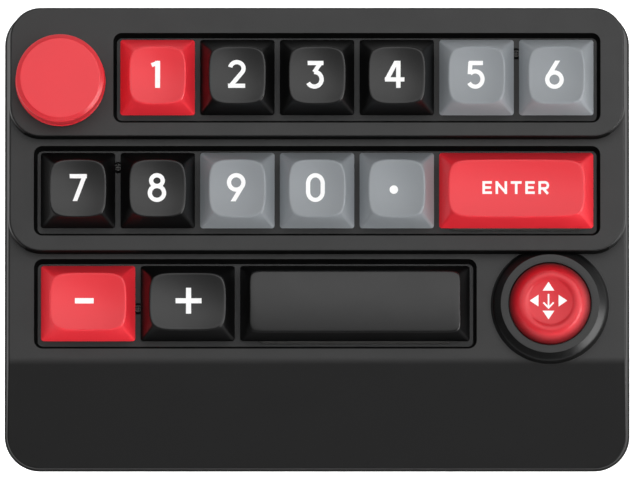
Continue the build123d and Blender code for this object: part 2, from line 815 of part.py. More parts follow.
def knob():
    """Steep cone on a flared foot, hollow below, with a hub that grips the shaft."""
    bottom = knob_bottom()
    side = Polyline((0, 0), (knob_radius, 0), (knob_radius, knob_foot), (knob_radius - knob_flare, knob_band),
                    (knob_top_radius, knob_height), (0, knob_height), close=True)
    profile = make_face(side)
    corner = profile.vertices().sort_by_distance((knob_top_radius, knob_height, 0))[:1]
    profile = fillet(corner, knob_edge)
    placed = Pos(knob_x, knob_y, bottom) * (Plane.XZ * profile)
    body = revolve(placed, axis=Axis((knob_x, knob_y, 0), (0, 0, 1)))
    ceiling = knob_height - knob_top_wall
    body -= disc(knob_x, knob_y, bottom, bottom + ceiling, knob_top_radius - knob_wall)
    body += disc(knob_x, knob_y, bottom + hub_bottom, bottom + ceiling, hub_radius)
    return body - flatted(bottom + hub_bottom, shaft_top(), shaft_radius + screw_fit, shaft_flat + screw_fit)


def turned(profile):
    """Solid of revolution about the thumb-stick's upright axis, from a profile drawn from the pivot."""
    placed = Pos(stick_x, stick_y, pivot_z) * (Plane.XZ * profile)
    return revolve(placed, axis=Axis((stick_x, stick_y, 0), (0, 0, 1)))


def stick_bezel():
    top = stick_pivot_drop
    deck = top - bezel_height
    spigot = deck - deck_thickness
    side = Polyline((bezel_hole_radius, spigot), (bezel_spigot_radius, spigot), (bezel_spigot_radius, deck),
                    (bezel_base_radius, deck), (bezel_top_radius, top), (bezel_hole_radius, top), close=True)
    profile = make_face(side)
    corners = profile.vertices().group_by(Axis.Y)[-1]
    ring = turned(fillet(corners, bezel_edge))
    reach = 2 * bezel_base_radius
    rear = middle.front - bezel_wall_gap
    deck_z = lower_deck_z
    return ring - box(stick_x - reach, stick_x + reach, rear, rear + reach, deck_z, deck_z + reach)


def stick_cap():
    """Ball about the pivot, cut open below, with a rounded ridge round a shallow dish on top."""
    edge = math.sqrt(stick_radius ** 2 - stick_skirt ** 2)
    ridge = math.sqrt(stick_radius ** 2 - stick_ridge_radius ** 2)
    low = ridge - stick_dish_depth
    ball = ThreePointArc((edge, -stick_skirt), (stick_radius, 0), (stick_ridge_radius, ridge))
    dish_wall = Line(ball @ 1, (stick_dish_radius, low))
    rest = Polyline(dish_wall @ 1, (0, low), (0, -stick_skirt), ball @ 0)
    profile = make_face([ball, dish_wall, rest])
    rim = profile.vertices().sort_by_distance((stick_ridge_radius, ridge, 0))[:1]
    profile = fillet(rim, stick_ridge_round)
    foot = profile.vertices().sort_by_distance((stick_dish_radius, low, 0))[:1]
    cap = turned(fillet(foot, stick_ridge_round))
    hollow = Pos(stick_x, stick_y, pivot_z) * Sphere(stick_radius - stick_wall)
    reach = 2 * stick_radius
    cap -= hollow - box(stick_x - reach, stick_x + reach, stick_y - reach, stick_y + reach,
                        pivot_z + stick_ceiling, pivot_z + reach)
    cap += disc(stick_x, stick_y, pivot_z + stick_socket_foot, pivot_z + stick_ceiling, stick_socket_radius)
    return cap - rod(stick_socket_foot, stick_rod_top, stick_rod + 2 * stick_fit)


def rod(z0, z1, width):
    return Pos(stick_x, stick_y, pivot_z + (z0 + z1) / 2) * Box(width, width, z1 - z0)


def stick_shaft():
    return rod(-stick_rod_foot, stick_rod_top, stick_rod)


def pin_bar(direction, start, end, radius):
    """Two pins on one line through the pivot, one each side."""
    turn = {"x": Rot(0, 90, 0), "y": Rot(90, 0, 0)}[direction]
    bar = Pos(stick_x, stick_y, pivot_z) * turn * Cylinder(radius, 2 * end)
    gap = Pos(stick_x, stick_y, pivot_z) * turn * Cylinder(radius, 2 * start)
    return bar - gap


def centred(half_x, half_y, half_z):
    return Pos(stick_x, stick_y, pivot_z) * Box(2 * half_x, 2 * half_y, 2 * half_z)


def stick_yoke():
    frame = centred(yoke_half_x, yoke_half_y, yoke_half_z)
    frame -= centred(yoke_window_x, yoke_window_y, yoke_half_z)
    frame += pin_bar("x", yoke_window_x, cheek_outer - pin_end_gap, yoke_pin)
    return frame - pin_bar("y", yoke_window_y - pin_end_gap, yoke_half_y, cradle_pin + stick_fit)


def stick_cradle():
    block = centred(cradle_half, cradle_half, cradle_half_z)
    block += pin_bar("y", cradle_half - pin_end_gap, yoke_half_y - pin_end_gap, cradle_pin)
    return block - rod(-cradle_half_z, cradle_half_z, stick_rod + 2 * stick_fit)


def stick_housing():
    z = lower.plate
    half = stick_base / 2
    base_top = z + stick_base_height
    body = box(stick_x - half, stick_x + half, stick_y - half, stick_y + half, z, base_top)
    for side in (-1, 1):
        x0, x1 = sorted((stick_x + side * cheek_inner, stick_x + side * cheek_outer))
        body += box(x0, x1, stick_y - cheek_half, stick_y + cheek_half, base_top, pivot_z + cheek_top)
    body -= pin_bar("x", cheek_inner, cheek_outer, yoke_pin + stick_fit)
    return body + disc(stick_x, stick_y, base_top, button_top_z, button_radius)


def main():
    parts = {
        "top_case": top_case(),
        "bottom_case": bottom_case(),
        "flat_cables": flat_cables(),
        "switch_bases": group([switch_base(key) for key in all_keys]),
        "switch_tops": group([switch_top(key) for key in all_keys]),
        "switch_springs": group([switch_spring(key) for key in all_keys]),
        "stabiliser_housings": group([stabiliser_housing(key, side) for key in all_keys
                                      for side in stabiliser_sides(key)]),
        "plate_screws": group([plate_screw(tier) for tier in tiers]),
        "case_screws": group([case_screw(x, y) for x, y in case_screw_places]),
        "rubber_feet": group([rubber_foot(x, y) for x, y in foot_places]),
        "usb_socket": usb_socket(),
        "encoder_body": encoder_body(),
        "encoder_rotor": encoder_rotor(),
        "encoder_shaft": encoder_shaft(),
        "knob": knob(),
        "stick_housing": stick_housing(),
        "stick_yoke": stick_yoke(),
        "stick_cradle": stick_cradle(),
        "stick_shaft": stick_shaft(),
        "stick_cap": stick_cap(),
        "stick_bezel": stick_bezel(),
    }
    for tier in tiers:
        parts["switch_plate_" + tier.name] = switch_plate(tier)
        parts["circuit_board_" + tier.name] = circuit_board(tier)
    for key in all_keys:
        parts["keycap_" + key.name] = keycap(key)
        wide = key.name in wide_keys
        parts[("stems_" if wide else "stem_") + key.name] = stems(key)
        if wide:
            parts[key.name + "_stabiliser_wire"] = stabiliser_wire(key)
    os.makedirs("parts", exist_ok=True)
    for name, shape in parts.items():
        export_step(shape, f"parts/{name}.step")


if __name__ == "__main__":
    main()
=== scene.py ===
import json
import math

import bmesh
import bpy
import numpy as np
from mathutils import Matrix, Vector


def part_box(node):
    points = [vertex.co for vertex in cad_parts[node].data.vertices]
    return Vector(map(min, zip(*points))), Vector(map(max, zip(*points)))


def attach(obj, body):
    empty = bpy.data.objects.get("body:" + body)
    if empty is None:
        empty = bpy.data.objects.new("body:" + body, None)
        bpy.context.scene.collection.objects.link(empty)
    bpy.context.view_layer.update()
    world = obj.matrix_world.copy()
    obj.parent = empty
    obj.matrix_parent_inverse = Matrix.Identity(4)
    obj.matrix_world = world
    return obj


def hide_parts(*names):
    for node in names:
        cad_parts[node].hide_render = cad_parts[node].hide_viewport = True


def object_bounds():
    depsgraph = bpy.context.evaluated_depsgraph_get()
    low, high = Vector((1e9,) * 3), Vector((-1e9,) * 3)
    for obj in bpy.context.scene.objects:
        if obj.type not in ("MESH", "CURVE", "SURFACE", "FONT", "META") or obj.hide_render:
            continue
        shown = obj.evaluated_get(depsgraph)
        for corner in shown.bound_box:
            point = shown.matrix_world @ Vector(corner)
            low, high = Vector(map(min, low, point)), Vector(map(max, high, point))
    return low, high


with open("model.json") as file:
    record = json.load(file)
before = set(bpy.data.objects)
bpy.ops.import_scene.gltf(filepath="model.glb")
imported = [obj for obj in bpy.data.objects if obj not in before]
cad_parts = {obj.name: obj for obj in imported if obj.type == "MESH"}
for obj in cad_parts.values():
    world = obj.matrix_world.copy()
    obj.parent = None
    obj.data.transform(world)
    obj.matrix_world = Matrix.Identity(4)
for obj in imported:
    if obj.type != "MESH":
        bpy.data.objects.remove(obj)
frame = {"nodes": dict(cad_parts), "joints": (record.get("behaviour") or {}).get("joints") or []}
cadLow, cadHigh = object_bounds()
nodes = frame["nodes"]
joints = {joint["name"]: joint for joint in frame["joints"]}
mm = 0.001
print("stage: frame loaded,", len(nodes), "nodes")


# Mesh tools

# A surface is its points, its quads and its triangles, as three arrays.
# Rings are a grid: rows follow a profile, columns go once round. Each cell of the grid is one quad.
# Each end is closed by a fan to the middle of its ring, or the last ring joins the first.
def ringSurface(rings, wrap=False):
    rows, cols = rings.shape[:2]
    points = rings.reshape(-1, 3)
    row = np.arange(rows if wrap else rows - 1)[:, None]
    col = np.arange(cols)[None, :]
    nextRow = (row + 1) % rows
    nextCol = (col + 1) % cols
    corners = (row * cols + col, row * cols + nextCol, nextRow * cols + nextCol, nextRow * cols + col)
    quads = np.stack(corners, axis=-1).reshape(-1, 4)
    tris = np.zeros((0, 3), int)
    for first in () if wrap else (0, (rows - 1) * cols):
        around = first + np.arange(cols)
        ahead = np.roll(around, -1)
        pole = np.full(cols, len(points))
        points = np.vstack([points, points[around].mean(axis=0)])
        fan = (pole, ahead, around) if first == 0 else (pole, around, ahead)
        tris = np.vstack([tris, np.stack(fan, axis=-1)])
    return turnOutward(points, quads, tris)


# Six times the enclosed volume is the sum of a . (b x c) over the triangles,
# and it is above zero if the faces look outwards.
def turnOutward(points, quads, tris):
    split = np.vstack([quads[:, [0, 1, 2]], quads[:, [0, 2, 3]], tris])
    a, b, c = (points[split[:, i]] - points.mean(axis=0) for i in range(3))
    if np.sum(a * np.cross(b, c)) < 0:
        quads, tris = quads[:, ::-1], tris[:, ::-1]
    return points, quads, tris


# One object made of several surfaces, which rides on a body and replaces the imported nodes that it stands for
def makePiece(name, surfaces, material, body, standsFor=(), sharpAngle=38):
    counts = np.cumsum([0] + [len(points) for points, quads, tris in surfaces])
    points = np.vstack([part[0] for part in surfaces])
    quads = np.vstack([part[1] + start for part, start in zip(surfaces, counts)])
    tris = np.vstack([part[2] + start for part, start in zip(surfaces, counts)])
    mesh = bpy.data.meshes.new(name)
    mesh.from_pydata(points.tolist(), [], quads.tolist() + tris.tolist())
    shadeSmooth(mesh, sharpAngle)
    piece = bpy.data.objects.new(name, mesh)
    bpy.context.scene.collection.objects.link(piece)
    mesh.materials.append(material)
    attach(piece, body)
    if standsFor:
        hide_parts(*standsFor)
    return piece


def shadeSmooth(mesh, sharpAngle):
    mesh.polygons.foreach_set("use_smooth", np.ones(len(mesh.polygons), bool))
    mesh.set_sharp_from_angle(angle=math.radians(sharpAngle))
    mesh.validate()


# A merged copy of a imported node, smooth over its fillets, with normals weighted so that flat faces stay flat
copyShape = dict(weld=0.0005, weight=90)     # mm, and how far large faces outweigh small ones
packedLayers = ("custom_normal", "sharp_face", "sharp_edge")


def smoothCopy(node, name, material, body, sharpAngle=24):
    mesh = bpy.data.meshes.new(name)
    shape = bmesh.new()
    shape.from_mesh(nodes[node].data)
    bmesh.ops.remove_doubles(shape, verts=shape.verts, dist=copyShape["weld"] * mm)
    shape.to_mesh(mesh)
    shape.free()
    spare = [layer.name for layer in mesh.attributes if layer.name in packedLayers]
    for layer in spare:
        mesh.attributes.remove(mesh.attributes[layer])
    mesh.materials.clear()
    mesh.materials.append(material)
    shadeSmooth(mesh, sharpAngle)
    piece = bpy.data.objects.new(name, mesh)
    bpy.context.scene.collection.objects.link(piece)
    weighted = piece.modifiers.new("flat faces stay flat", "WEIGHTED_NORMAL")
    weighted.keep_sharp = True
    weighted.weight = copyShape["weight"]
    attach(piece, body)
    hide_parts(node)
    return piece


# A profile of straight runs with round corners: each corner is (radius, height, rounding). The arc starts and
# ends at rounding tan(turn / 2) from the corner.
def softProfile(corners, steps=7):
    spots = np.array([corner[:2] for corner in corners], float)
    along = np.linspace(0, 1, steps)[:, None]
    line = [spots[:1]]
    for i in range(1, len(spots) - 1):
        rounding = corners[i][2]
        before = spots[i] - spots[i - 1]
        after = spots[i + 1] - spots[i]
        before /= np.linalg.norm(before)
        after /= np.linalg.norm(after)
        turn = math.acos(max(-1.0, min(1.0, float(before @ after))))
        reach = rounding * math.tan(turn / 2)
        start, end = spots[i] - reach * before, spots[i] + reach * after
        line.append(cornerCurve(start, spots[i], end, turn, along) if reach > 0 else spots[i:i + 1])
    line.append(spots[-1:])
    return np.vstack(line)


# Arc round a corner: the rational curve ((1-s)^2 A + 2ws(1-s) P + s^2 B) / ((1-s)^2 + 2ws(1-s) + s^2),
# with P the corner, A and B the ends of the arc, and w the cosine of half the turn
def cornerCurve(start, corner, end, turn, s):
    pull = 2 * math.cos(turn / 2) * s * (1 - s)
    return ((1 - s) ** 2 * start + pull * corner + s ** 2 * end) / ((1 - s) ** 2 + pull + s ** 2)


# Points along a profile, no further apart than a step, so that long runs shade evenly.
def evenProfile(profile, step):
    parts = [profile[:1]]
    for start, end in zip(profile[:-1], profile[1:]):
        count = max(1, int(math.ceil(np.linalg.norm(end - start) / step)))
        parts.append(start + (end - start) * (np.arange(1, count + 1) / count)[:, None])
    return np.vstack(parts)


# Turned form: each profile point (r, z) goes round the upright axis as (x + r cos a, y + r sin a, z).
def turnedRings(profile, centre, count):
    angle = np.linspace(0, 2 * math.pi, count, endpoint=False)
    radius = profile[:, 0, None]
    x = centre[0] + radius * np.cos(angle)
    y = centre[1] + radius * np.sin(angle)
    z = np.broadcast_to(centre[2] + profile[:, 1, None], x.shape)
    return np.stack([x, y, z], axis=-1)


# Shader tools

def addNode(tree, kind, **values):
    node = tree.nodes.new(kind)
    for key, value in values.items():
        setattr(node, key, value)
    return node


def newGroup(name, inputs, outputs):
    group = bpy.data.node_groups.new(name, "ShaderNodeTree")
    kinds = {"colour": "NodeSocketColor", "value": "NodeSocketFloat"}
    for way, sockets in (("INPUT", inputs), ("OUTPUT", outputs)):
        for label, kind in sockets:
            group.interface.new_socket(label, in_out=way, socket_type=kinds[kind])
    return group, addNode(group, "NodeGroupInput"), addNode(group, "NodeGroupOutput")


# Noise at the given coordinates
def noiseAt(tree, coordinates, detail, roughness=0.5):
    noise = addNode(tree, "ShaderNodeTexNoise")
    noise.inputs["Detail"].default_value = detail
    noise.inputs["Roughness"].default_value = roughness
    tree.links.new(coordinates, noise.inputs["Vector"])
    return noise


# Moulded surface: a fine spark-eroded grain for the bump, broad mottling of colour, and handling marks
# in the gloss. Scales are in cells to the metre.
grainShape = dict(fineDetail=2.0, mottleDetail=4.0, mottleScale=55.0, mottleFrom=0.3, mottleTo=0.7,
                  markDetail=3.0, markRoughness=0.6, markScale=140.0, markMiddle=0.5)


def makeMouldGrain():
    shape = grainShape
    group, entry, leave = newGroup(
        "mouldGrain",
        [("Colour", "colour"), ("Mottle", "value"), ("Grain Scale", "value"), ("Roughness", "value"),
         ("Gloss Change", "value")],
        [("Colour", "colour"), ("Roughness", "value"), ("Height", "value")])
    link = group.links.new
    place = addNode(group, "ShaderNodeTexCoord").outputs["Object"]
    fine = noiseAt(group, place, shape["fineDetail"])
    link(entry.outputs["Grain Scale"], fine.inputs["Scale"])
    link(fine.outputs["Fac"], leave.inputs["Height"])
    broad = noiseAt(group, place, shape["mottleDetail"])
    broad.inputs["Scale"].default_value = shape["mottleScale"]
    shade = addNode(group, "ShaderNodeMapRange")
    link(broad.outputs["Fac"], shade.inputs["Value"])
    for label, value in (("From Min", shape["mottleFrom"]), ("From Max", shape["mottleTo"]), ("To Max", 1.0)):
        shade.inputs[label].default_value = value
    darkest = addNode(group, "ShaderNodeMath", operation="SUBTRACT")
    darkest.inputs[0].default_value = 1.0
    link(entry.outputs["Mottle"], darkest.inputs[1])
    link(darkest.outputs[0], shade.inputs["To Min"])
    tint = addNode(group, "ShaderNodeVectorMath", operation="SCALE")
    link(entry.outputs["Colour"], tint.inputs[0])
    link(shade.outputs["Result"], tint.inputs["Scale"])
    link(tint.outputs["Vector"], leave.inputs["Colour"])
    marks = noiseAt(group, place, shape["markDetail"], shape["markRoughness"])
    marks.inputs["Scale"].default_value = shape["markScale"]
    lift = addNode(group, "ShaderNodeMath", operation="SUBTRACT")
    link(marks.outputs["Fac"], lift.inputs[0])
    lift.inputs[1].default_value = shape["markMiddle"]
    gloss = addNode(group, "ShaderNodeMath", operation="MULTIPLY_ADD")
    link(lift.outputs[0], gloss.inputs[0])
    link(entry.outputs["Gloss Change"], gloss.inputs[1])
    link(entry.outputs["Roughness"], gloss.inputs[2])
    link(gloss.outputs[0], leave.inputs["Roughness"])
    return group


mouldGrain = makeMouldGrain()


def plainMaterial(name):
    material = bpy.data.materials.new(name)
    material.use_nodes = True
    tree = material.node_tree
    return material, tree, tree.nodes["Principled BSDF"]


# Plastic, rubber or paint: the grain group drives colour, gloss and bump, and the rest sits on the shader.
def mouldedMaterial(name, colour, roughness, grainScale, grainDepth, mottle=0.06, glossChange=0.10,
                    specular=0.5, metallic=0.0, bumpStrength=0.5):
    material, tree, shader = plainMaterial(name)
    grain = addNode(tree, "ShaderNodeGroup", node_tree=mouldGrain)
    grain.inputs["Colour"].default_value = (*colour, 1.0)
    for label, value in (("Mottle", mottle), ("Grain Scale", grainScale), ("Roughness", roughness),
                         ("Gloss Change", glossChange)):
        grain.inputs[label].default_value = value
    bump = addNode(tree, "ShaderNodeBump")
    bump.inputs["Strength"].default_value = bumpStrength
    bump.inputs["Distance"].default_value = grainDepth * mm
    tree.links.new(grain.outputs["Height"], bump.inputs["Height"])
    tree.links.new(grain.outputs["Colour"], shader.inputs["Base Color"])
    tree.links.new(grain.outputs["Roughness"], shader.inputs["Roughness"])
    tree.links.new(bump.outputs["Normal"], shader.inputs["Normal"])
    shader.inputs["Specular IOR Level"].default_value = specular
    shader.inputs["Metallic"].default_value = metallic
    return material


# Colour, roughness, cells of grain to the metre and depth of grain in mm
casePlastic = mouldedMaterial("casePlastic", (0.003, 0.003, 0.0031), 0.42, 5200, 0.012)
# Painted shade: a blacker, less glossy copy of the case plastic, for walls in the wells and steps and round the
# screw heads
paintedShadePlastic = mouldedMaterial("paintedShadePlastic", (0.0015, 0.0015, 0.0015), 0.6, 4200, 0.02, specular=0.08)
trayPlastic = mouldedMaterial("trayPlastic", (0.003, 0.003, 0.0031), 0.5, 4200, 0.02)
bezelPlastic = mouldedMaterial("bezelPlastic", (0.0012, 0.0012, 0.0013), 0.38, 6000, 0.008)
blackCap = mouldedMaterial("blackCap", (0.0015, 0.0015, 0.0016), 0.36, 6500, 0.008)
greyCap = mouldedMaterial("greyCap", (0.25, 0.268, 0.285), 0.38, 6500, 0.008)
redCap = mouldedMaterial("redCap", (0.79, 0.025, 0.038), 0.36, 6500, 0.008)
redKnob = mouldedMaterial("redKnob", (0.79, 0.025, 0.038), 0.33, 7500, 0.006)
redStick = mouldedMaterial("redStick", (0.64, 0.014, 0.025), 0.37, 7500, 0.006)
plateCoat = mouldedMaterial("plateCoat", (0.028, 0.0283, 0.0288), 0.5, 3800, 0.02)
housingPlastic = mouldedMaterial("housingPlastic", (0.008, 0.008, 0.0085), 0.45, 5200, 0.01)
stemPlastic = mouldedMaterial("stemPlastic", (0.45, 0.02, 0.025), 0.4, 5200, 0.01)
springSteel = mouldedMaterial("springSteel", (0.55, 0.55, 0.57), 0.32, 2600, 0.006, metallic=1.0)
blackScrew = mouldedMaterial("blackScrew", (0.045, 0.044, 0.043), 0.4, 3600, 0.01)
socketSteel = mouldedMaterial("socketSteel", (0.6, 0.6, 0.62), 0.28, 3000, 0.006, metallic=1.0)
footRubber = mouldedMaterial("footRubber", (0.012, 0.012, 0.012), 0.75, 3000, 0.03)
boardResist = mouldedMaterial("boardResist", (0.008, 0.03, 0.018), 0.35, 900, 0.02, mottle=0.4)
flexFilm = mouldedMaterial("flexFilm", (0.42, 0.2, 0.03), 0.3, 900, 0.01)
legendWhite = mouldedMaterial("legendWhite", (0.97, 0.97, 0.97), 0.45, 6500, 0.004, mottle=0.02)
print("stage: materials made")


# Painted shade: colour falls to a share of itself between two distances from an upright axis
def paintShadeTowardsEdge(material, centre, dimFrom, dimTo, dimmest):
    tree = material.node_tree
    base = tree.nodes["Principled BSDF"].inputs["Base Color"]
    colour = base.links[0].from_socket
    flat = addNode(tree, "ShaderNodeVectorMath", operation="MULTIPLY")
    flat.inputs[1].default_value = (1.0, 1.0, 0.0)
    tree.links.new(addNode(tree, "ShaderNodeTexCoord").outputs["Object"], flat.inputs[0])
    away = addNode(tree, "ShaderNodeVectorMath", operation="DISTANCE")
    away.inputs[1].default_value = (centre[0], centre[1], 0.0)
    tree.links.new(flat.outputs["Vector"], away.inputs[0])
    share = addNode(tree, "ShaderNodeMapRange", interpolation_type="SMOOTHSTEP")
    for label, value in (("From Min", dimFrom), ("From Max", dimTo), ("To Min", 1.0), ("To Max", dimmest)):
        share.inputs[label].default_value = value
    tree.links.new(away.outputs["Value"], share.inputs["Value"])
    dimmed = addNode(tree, "ShaderNodeVectorMath", operation="SCALE")
    tree.links.new(colour, dimmed.inputs[0])
    tree.links.new(share.outputs["Result"], dimmed.inputs["Scale"])
    tree.links.new(dimmed.outputs["Vector"], base)


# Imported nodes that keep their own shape, by the start of their name

nodeFinish = {
    "switch_plate_": plateCoat, "switch_bases": housingPlastic, "switch_tops": housingPlastic,
    "switch_springs": springSteel, "stem": stemPlastic, "stabiliser_housings": housingPlastic,
    "enter_stabiliser_wire": blackScrew, "bar_stabiliser_wire": blackScrew,
    "circuit_board_": boardResist, "flat_cables": flexFilm, "usb_socket": socketSteel,
    "encoder_body": socketSteel, "encoder_rotor": housingPlastic, "encoder_shaft": socketSteel,
    "stick_housing": housingPlastic, "stick_yoke": housingPlastic, "stick_cradle": housingPlastic,
    "stick_shaft": housingPlastic,
}
for nodeName, node in nodes.items():
    for start, finish in nodeFinish.items():
        if nodeName.startswith(start):
            node.data.materials.clear()
            node.data.materials.append(finish)


# Case shells

topCase = smoothCopy("top_case", "topCase", casePlastic, "chassis")
wallShape = dict(steep=0.55, turn=0.5, margin=2.0, ends=6.0, corner=8.4)   # shares of the normal, then mm


# Painted shade on the walls of the key wells and of the tier steps: faces that stand up and lie further in than
# a margin, less those near the ends of a step that turn out to the side, take a blacker copy of the case
# plastic. With q how far a point is past the ends of the straight sides, its depth in a rounded rectangle is
# corner - |max(q, 0)| - min(max(q), 0).
def paintShadeOnInnerWalls(piece, material):
    faces = piece.data.polygons
    normals, middles = np.zeros(3 * len(faces)), np.zeros(3 * len(faces))
    faces.foreach_get("normal", normals)
    faces.foreach_get("center", middles)
    plan = middles.reshape(-1, 3)[:, :2]
    low, high = np.array(cadLow)[:2], np.array(cadHigh)[:2]
    corner = wallShape["corner"] * mm
    past = np.abs(plan - (low + high) / 2) - ((high - low) / 2 - corner)
    depth = corner - np.linalg.norm(np.maximum(past, 0), axis=1) - np.minimum(past.max(axis=1), 0)
    normals = normals.reshape(-1, 3)
    upright = np.abs(normals[:, 2]) < wallShape["steep"]
    turned = (np.sign(plan[:, 0]) * normals[:, 0] > wallShape["turn"]) & (depth < wallShape["ends"] * mm)
    dark = upright & (depth > wallShape["margin"] * mm) & ~turned
    piece.data.materials.append(material)
    faces.foreach_set("material_index", dark.astype(np.int32))


paintShadeOnInnerWalls(topCase, paintedShadePlastic)
smoothCopy("bottom_case", "bottomCase", trayPlastic, "chassis")
print("stage: case shells dressed")


# Keycaps

keycapShape = dict(height=8.2, lean=2.35, barLean=1.8, corner=0.7, wall=1.4, ceiling=6.0, edge=0.4,
                   dish=0.75, crown=0.9, bossFoot=0.95, bossRadius=2.75, bossBore=2.2, bossInto=0.2)    # mm
capGrid = dict(arc=8, side=30, longSide=60, longFrom=1.6, squareness=4, barSquareness=7, wallRows=8,
               edgeRows=7, topRows=22, topMiddle=0.02, ceilingRows=(0.1, 0.55), bossColumns=40, meetTurns=9)
capSharpAngle = 50      # degrees
stabiliserReach = {"enter": 11.9, "bar": 19.05}     # mm from the middle of the key
capFinish = {"red": (redCap, "cap_red"), "grey": (greyCap, "cap_grey"), "black": (blackCap, "cap_black")}
capColour = {
    "1": "red", "2": "black", "3": "black", "4": "black", "5": "grey", "6": "grey",
    "7": "black", "8": "black", "9": "grey", "0": "grey", "point": "grey", "enter": "red",
    "minus": "red", "plus": "black", "bar": "black",
}


# Columns of a rounded rectangle: the middle of the corner arc slides along each side while the arc's angle
# rests, and stays in the corner while the angle turns by a quarter. Columns crowd towards the corners
# as (1 - cos) / 2.
def outlineColumns(arc, sideX, sideY):
    signs = [(1, 1), (-1, 1), (-1, -1), (1, -1)]
    coreX, coreY, angle = [], [], []
    for quarter in range(4):
        here, there = np.array(signs[quarter]), np.array(signs[(quarter + 1) % 4])
        count = sideX if quarter % 2 == 0 else sideY
        share = (1 - np.cos(np.linspace(0, math.pi, count + 2)[1:-1])) / 2
        run = here + (there - here) * share[:, None]
        coreX += [np.full(arc, here[0]), run[:, 0]]
        coreY += [np.full(arc, here[1]), run[:, 1]]
        angle += [np.linspace(quarter, quarter + 1, arc), np.full(count, quarter + 1.0)]
    return np.concatenate(coreX), np.concatenate(coreY), np.concatenate(angle) * math.pi / 2


# Unit normals out of a closed outline, square to the run from the point before to the point after
def outwardOf(x, y):
    alongX, alongY = np.roll(x, -1) - np.roll(x, 1), np.roll(y, -1) - np.roll(y, 1)
    size = np.hypot(alongX, alongY)
    return alongY / size, -alongX / size


class Cap:
    def __init__(self, name):
        low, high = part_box("keycap_" + name)
        self.name = name
        self.x, self.y, self.base = (low.x + high.x) / 2, (low.y + high.y) / 2, low.z
        self.halfX, self.halfY = (high.x - low.x) / 2, (high.y - low.y) / 2
        self.shape = {key: value * mm for key, value in keycapShape.items()}
        self.top = self.base + self.shape["height"]
        isLong = self.halfX > capGrid["longFrom"] * self.halfY
        side = capGrid["longSide"] if isLong else capGrid["side"]
        self.columns = outlineColumns(capGrid["arc"], side, capGrid["side"])
        self.squareness = capGrid["barSquareness"] if name == "bar" else capGrid["squareness"]
        self.leanY = self.shape["barLean"] if name == "bar" else self.shape["lean"]

    # Outline at a share of the height, a straight blend from foot to top. The foot is a rectangle with small
    # round corners. The top is |u|^n + |v|^n = 1, which bows its sides out and rounds its corners wide, with
    # the middle of a long key stretched: each foot point moves to the top's edge on the line from the middle
    # of its end.
    def outline(self, share, inset=0.0):
        coreX, coreY, angle = self.columns
        shape, n = self.shape, self.squareness
        halfX, halfY, corner = self.halfX - inset, self.halfY - inset, shape["corner"]
        footX = coreX * (halfX - corner) + corner * np.cos(angle)
        footY = coreY * (halfY - corner) + corner * np.sin(angle)
        stretch = max(halfX - halfY, 0.0)
        u = np.maximum(np.abs(footX) - stretch, 0.0) / (halfX - stretch)
        v = footY / halfY
        size = (u ** n + np.abs(v) ** n) ** (-1 / n)
        endX = (halfX - stretch - shape["lean"]) * size * u
        topX = np.sign(footX) * (np.minimum(np.abs(footX), stretch) + endX)
        topY = (halfY - self.leanY) * size * v
        return footX + share * (topX - footX), footY + share * (topY - footY)

    # Top: two parabolas added, highest in the corners; the long bar is one parabola across,
    # highest in the middle
    def topZ(self, x, y):
        shape = self.shape
        if self.name == "bar":
            return self.top - shape["crown"] * (y / self.halfY) ** 2
        reachX, reachY = self.halfX - shape["lean"], self.halfY - self.leanY
        return self.top - shape["dish"] * (2 - (x / reachX) ** 2 - (y / reachY) ** 2)

    def place(self, x, y, z):
        return np.stack([self.x + x, self.y + y, np.broadcast_to(z, x.shape)], axis=-1)

    # Rings from the middle of the ceiling, down the inside, round the foot, up the side, over the edge and in
    # to the middle of the top. The side meets the top where its height equals the top's, found by trying
    # the top's height as the next share a few times over.
    def rings(self):
        shape = self.shape
        height, rise = shape["height"], np.hypot(shape["height"], shape["lean"])
        ceiling = shape["ceiling"] / height
        rings = []
        for spread in capGrid["ceilingRows"]:
            x, y = self.outline(ceiling, shape["wall"])
            rings.append(self.place(spread * x, spread * y, self.base + shape["ceiling"]))
        for share in (ceiling, ceiling / 2, 0.0):
            rings.append(self.place(*self.outline(share, shape["wall"]), self.base + share * height))
        meet = np.ones(len(self.columns[0]))
        for turn in range(capGrid["meetTurns"]):
            meet = (self.topZ(*self.outline(meet)) - self.base) / height
        edgeFoot = meet - shape["edge"] / rise
        for step in np.linspace(0, 1, capGrid["wallRows"]):
            rings.append(self.place(*self.outline(step * edgeFoot), self.base + step * edgeFoot * height))
        cornerX, cornerY = self.outline(meet)
        corner = self.place(cornerX, cornerY, self.base + meet * height)
        outX, outY = outwardOf(cornerX, cornerY)
        inX, inY = cornerX - shape["edge"] * outX, cornerY - shape["edge"] * outY
        inner = self.place(inX, inY, self.topZ(inX, inY))
        start = rings[-1]
        for s in np.linspace(0, 1, capGrid["edgeRows"])[1:]:
            rings.append(cornerCurve(start, corner, inner, math.pi / 2, s))
        for spread in np.linspace(1, capGrid["topMiddle"], capGrid["topRows"])[1:]:
            rings.append(self.place(spread * inX, spread * inY, self.topZ(spread * inX, spread * inY)))
        return np.stack(rings)

    # Round boss that grips a stem, a closed tube up into the ceiling
    def boss(self, x):
        bore, radius, foot = (self.shape[key] for key in ("bossBore", "bossRadius", "bossFoot"))
        into = self.shape["ceiling"] + self.shape["bossInto"]
        profile = np.array([(bore, foot), (radius, foot), (radius, into), (bore, into)])
        rings = turnedRings(profile, (self.x + x, self.y, self.base), capGrid["bossColumns"])
        return ringSurface(rings, wrap=True)


caps = {name: Cap(name) for name in capColour}
for name, cap in caps.items():
    reach = stabiliserReach.get(name, 0) * mm
    surfaces = [ringSurface(cap.rings())] + [cap.boss(x) for x in sorted({-reach, 0.0, reach})]
    finish, slotName = capFinish[capColour[name]]
    makePiece("cap_" + name, surfaces, finish, "key_" + name, ["keycap_" + name], capSharpAngle)
print("stage: keycaps made,", len(caps))


# Legends: strokes with a flat section, let into the top of their key

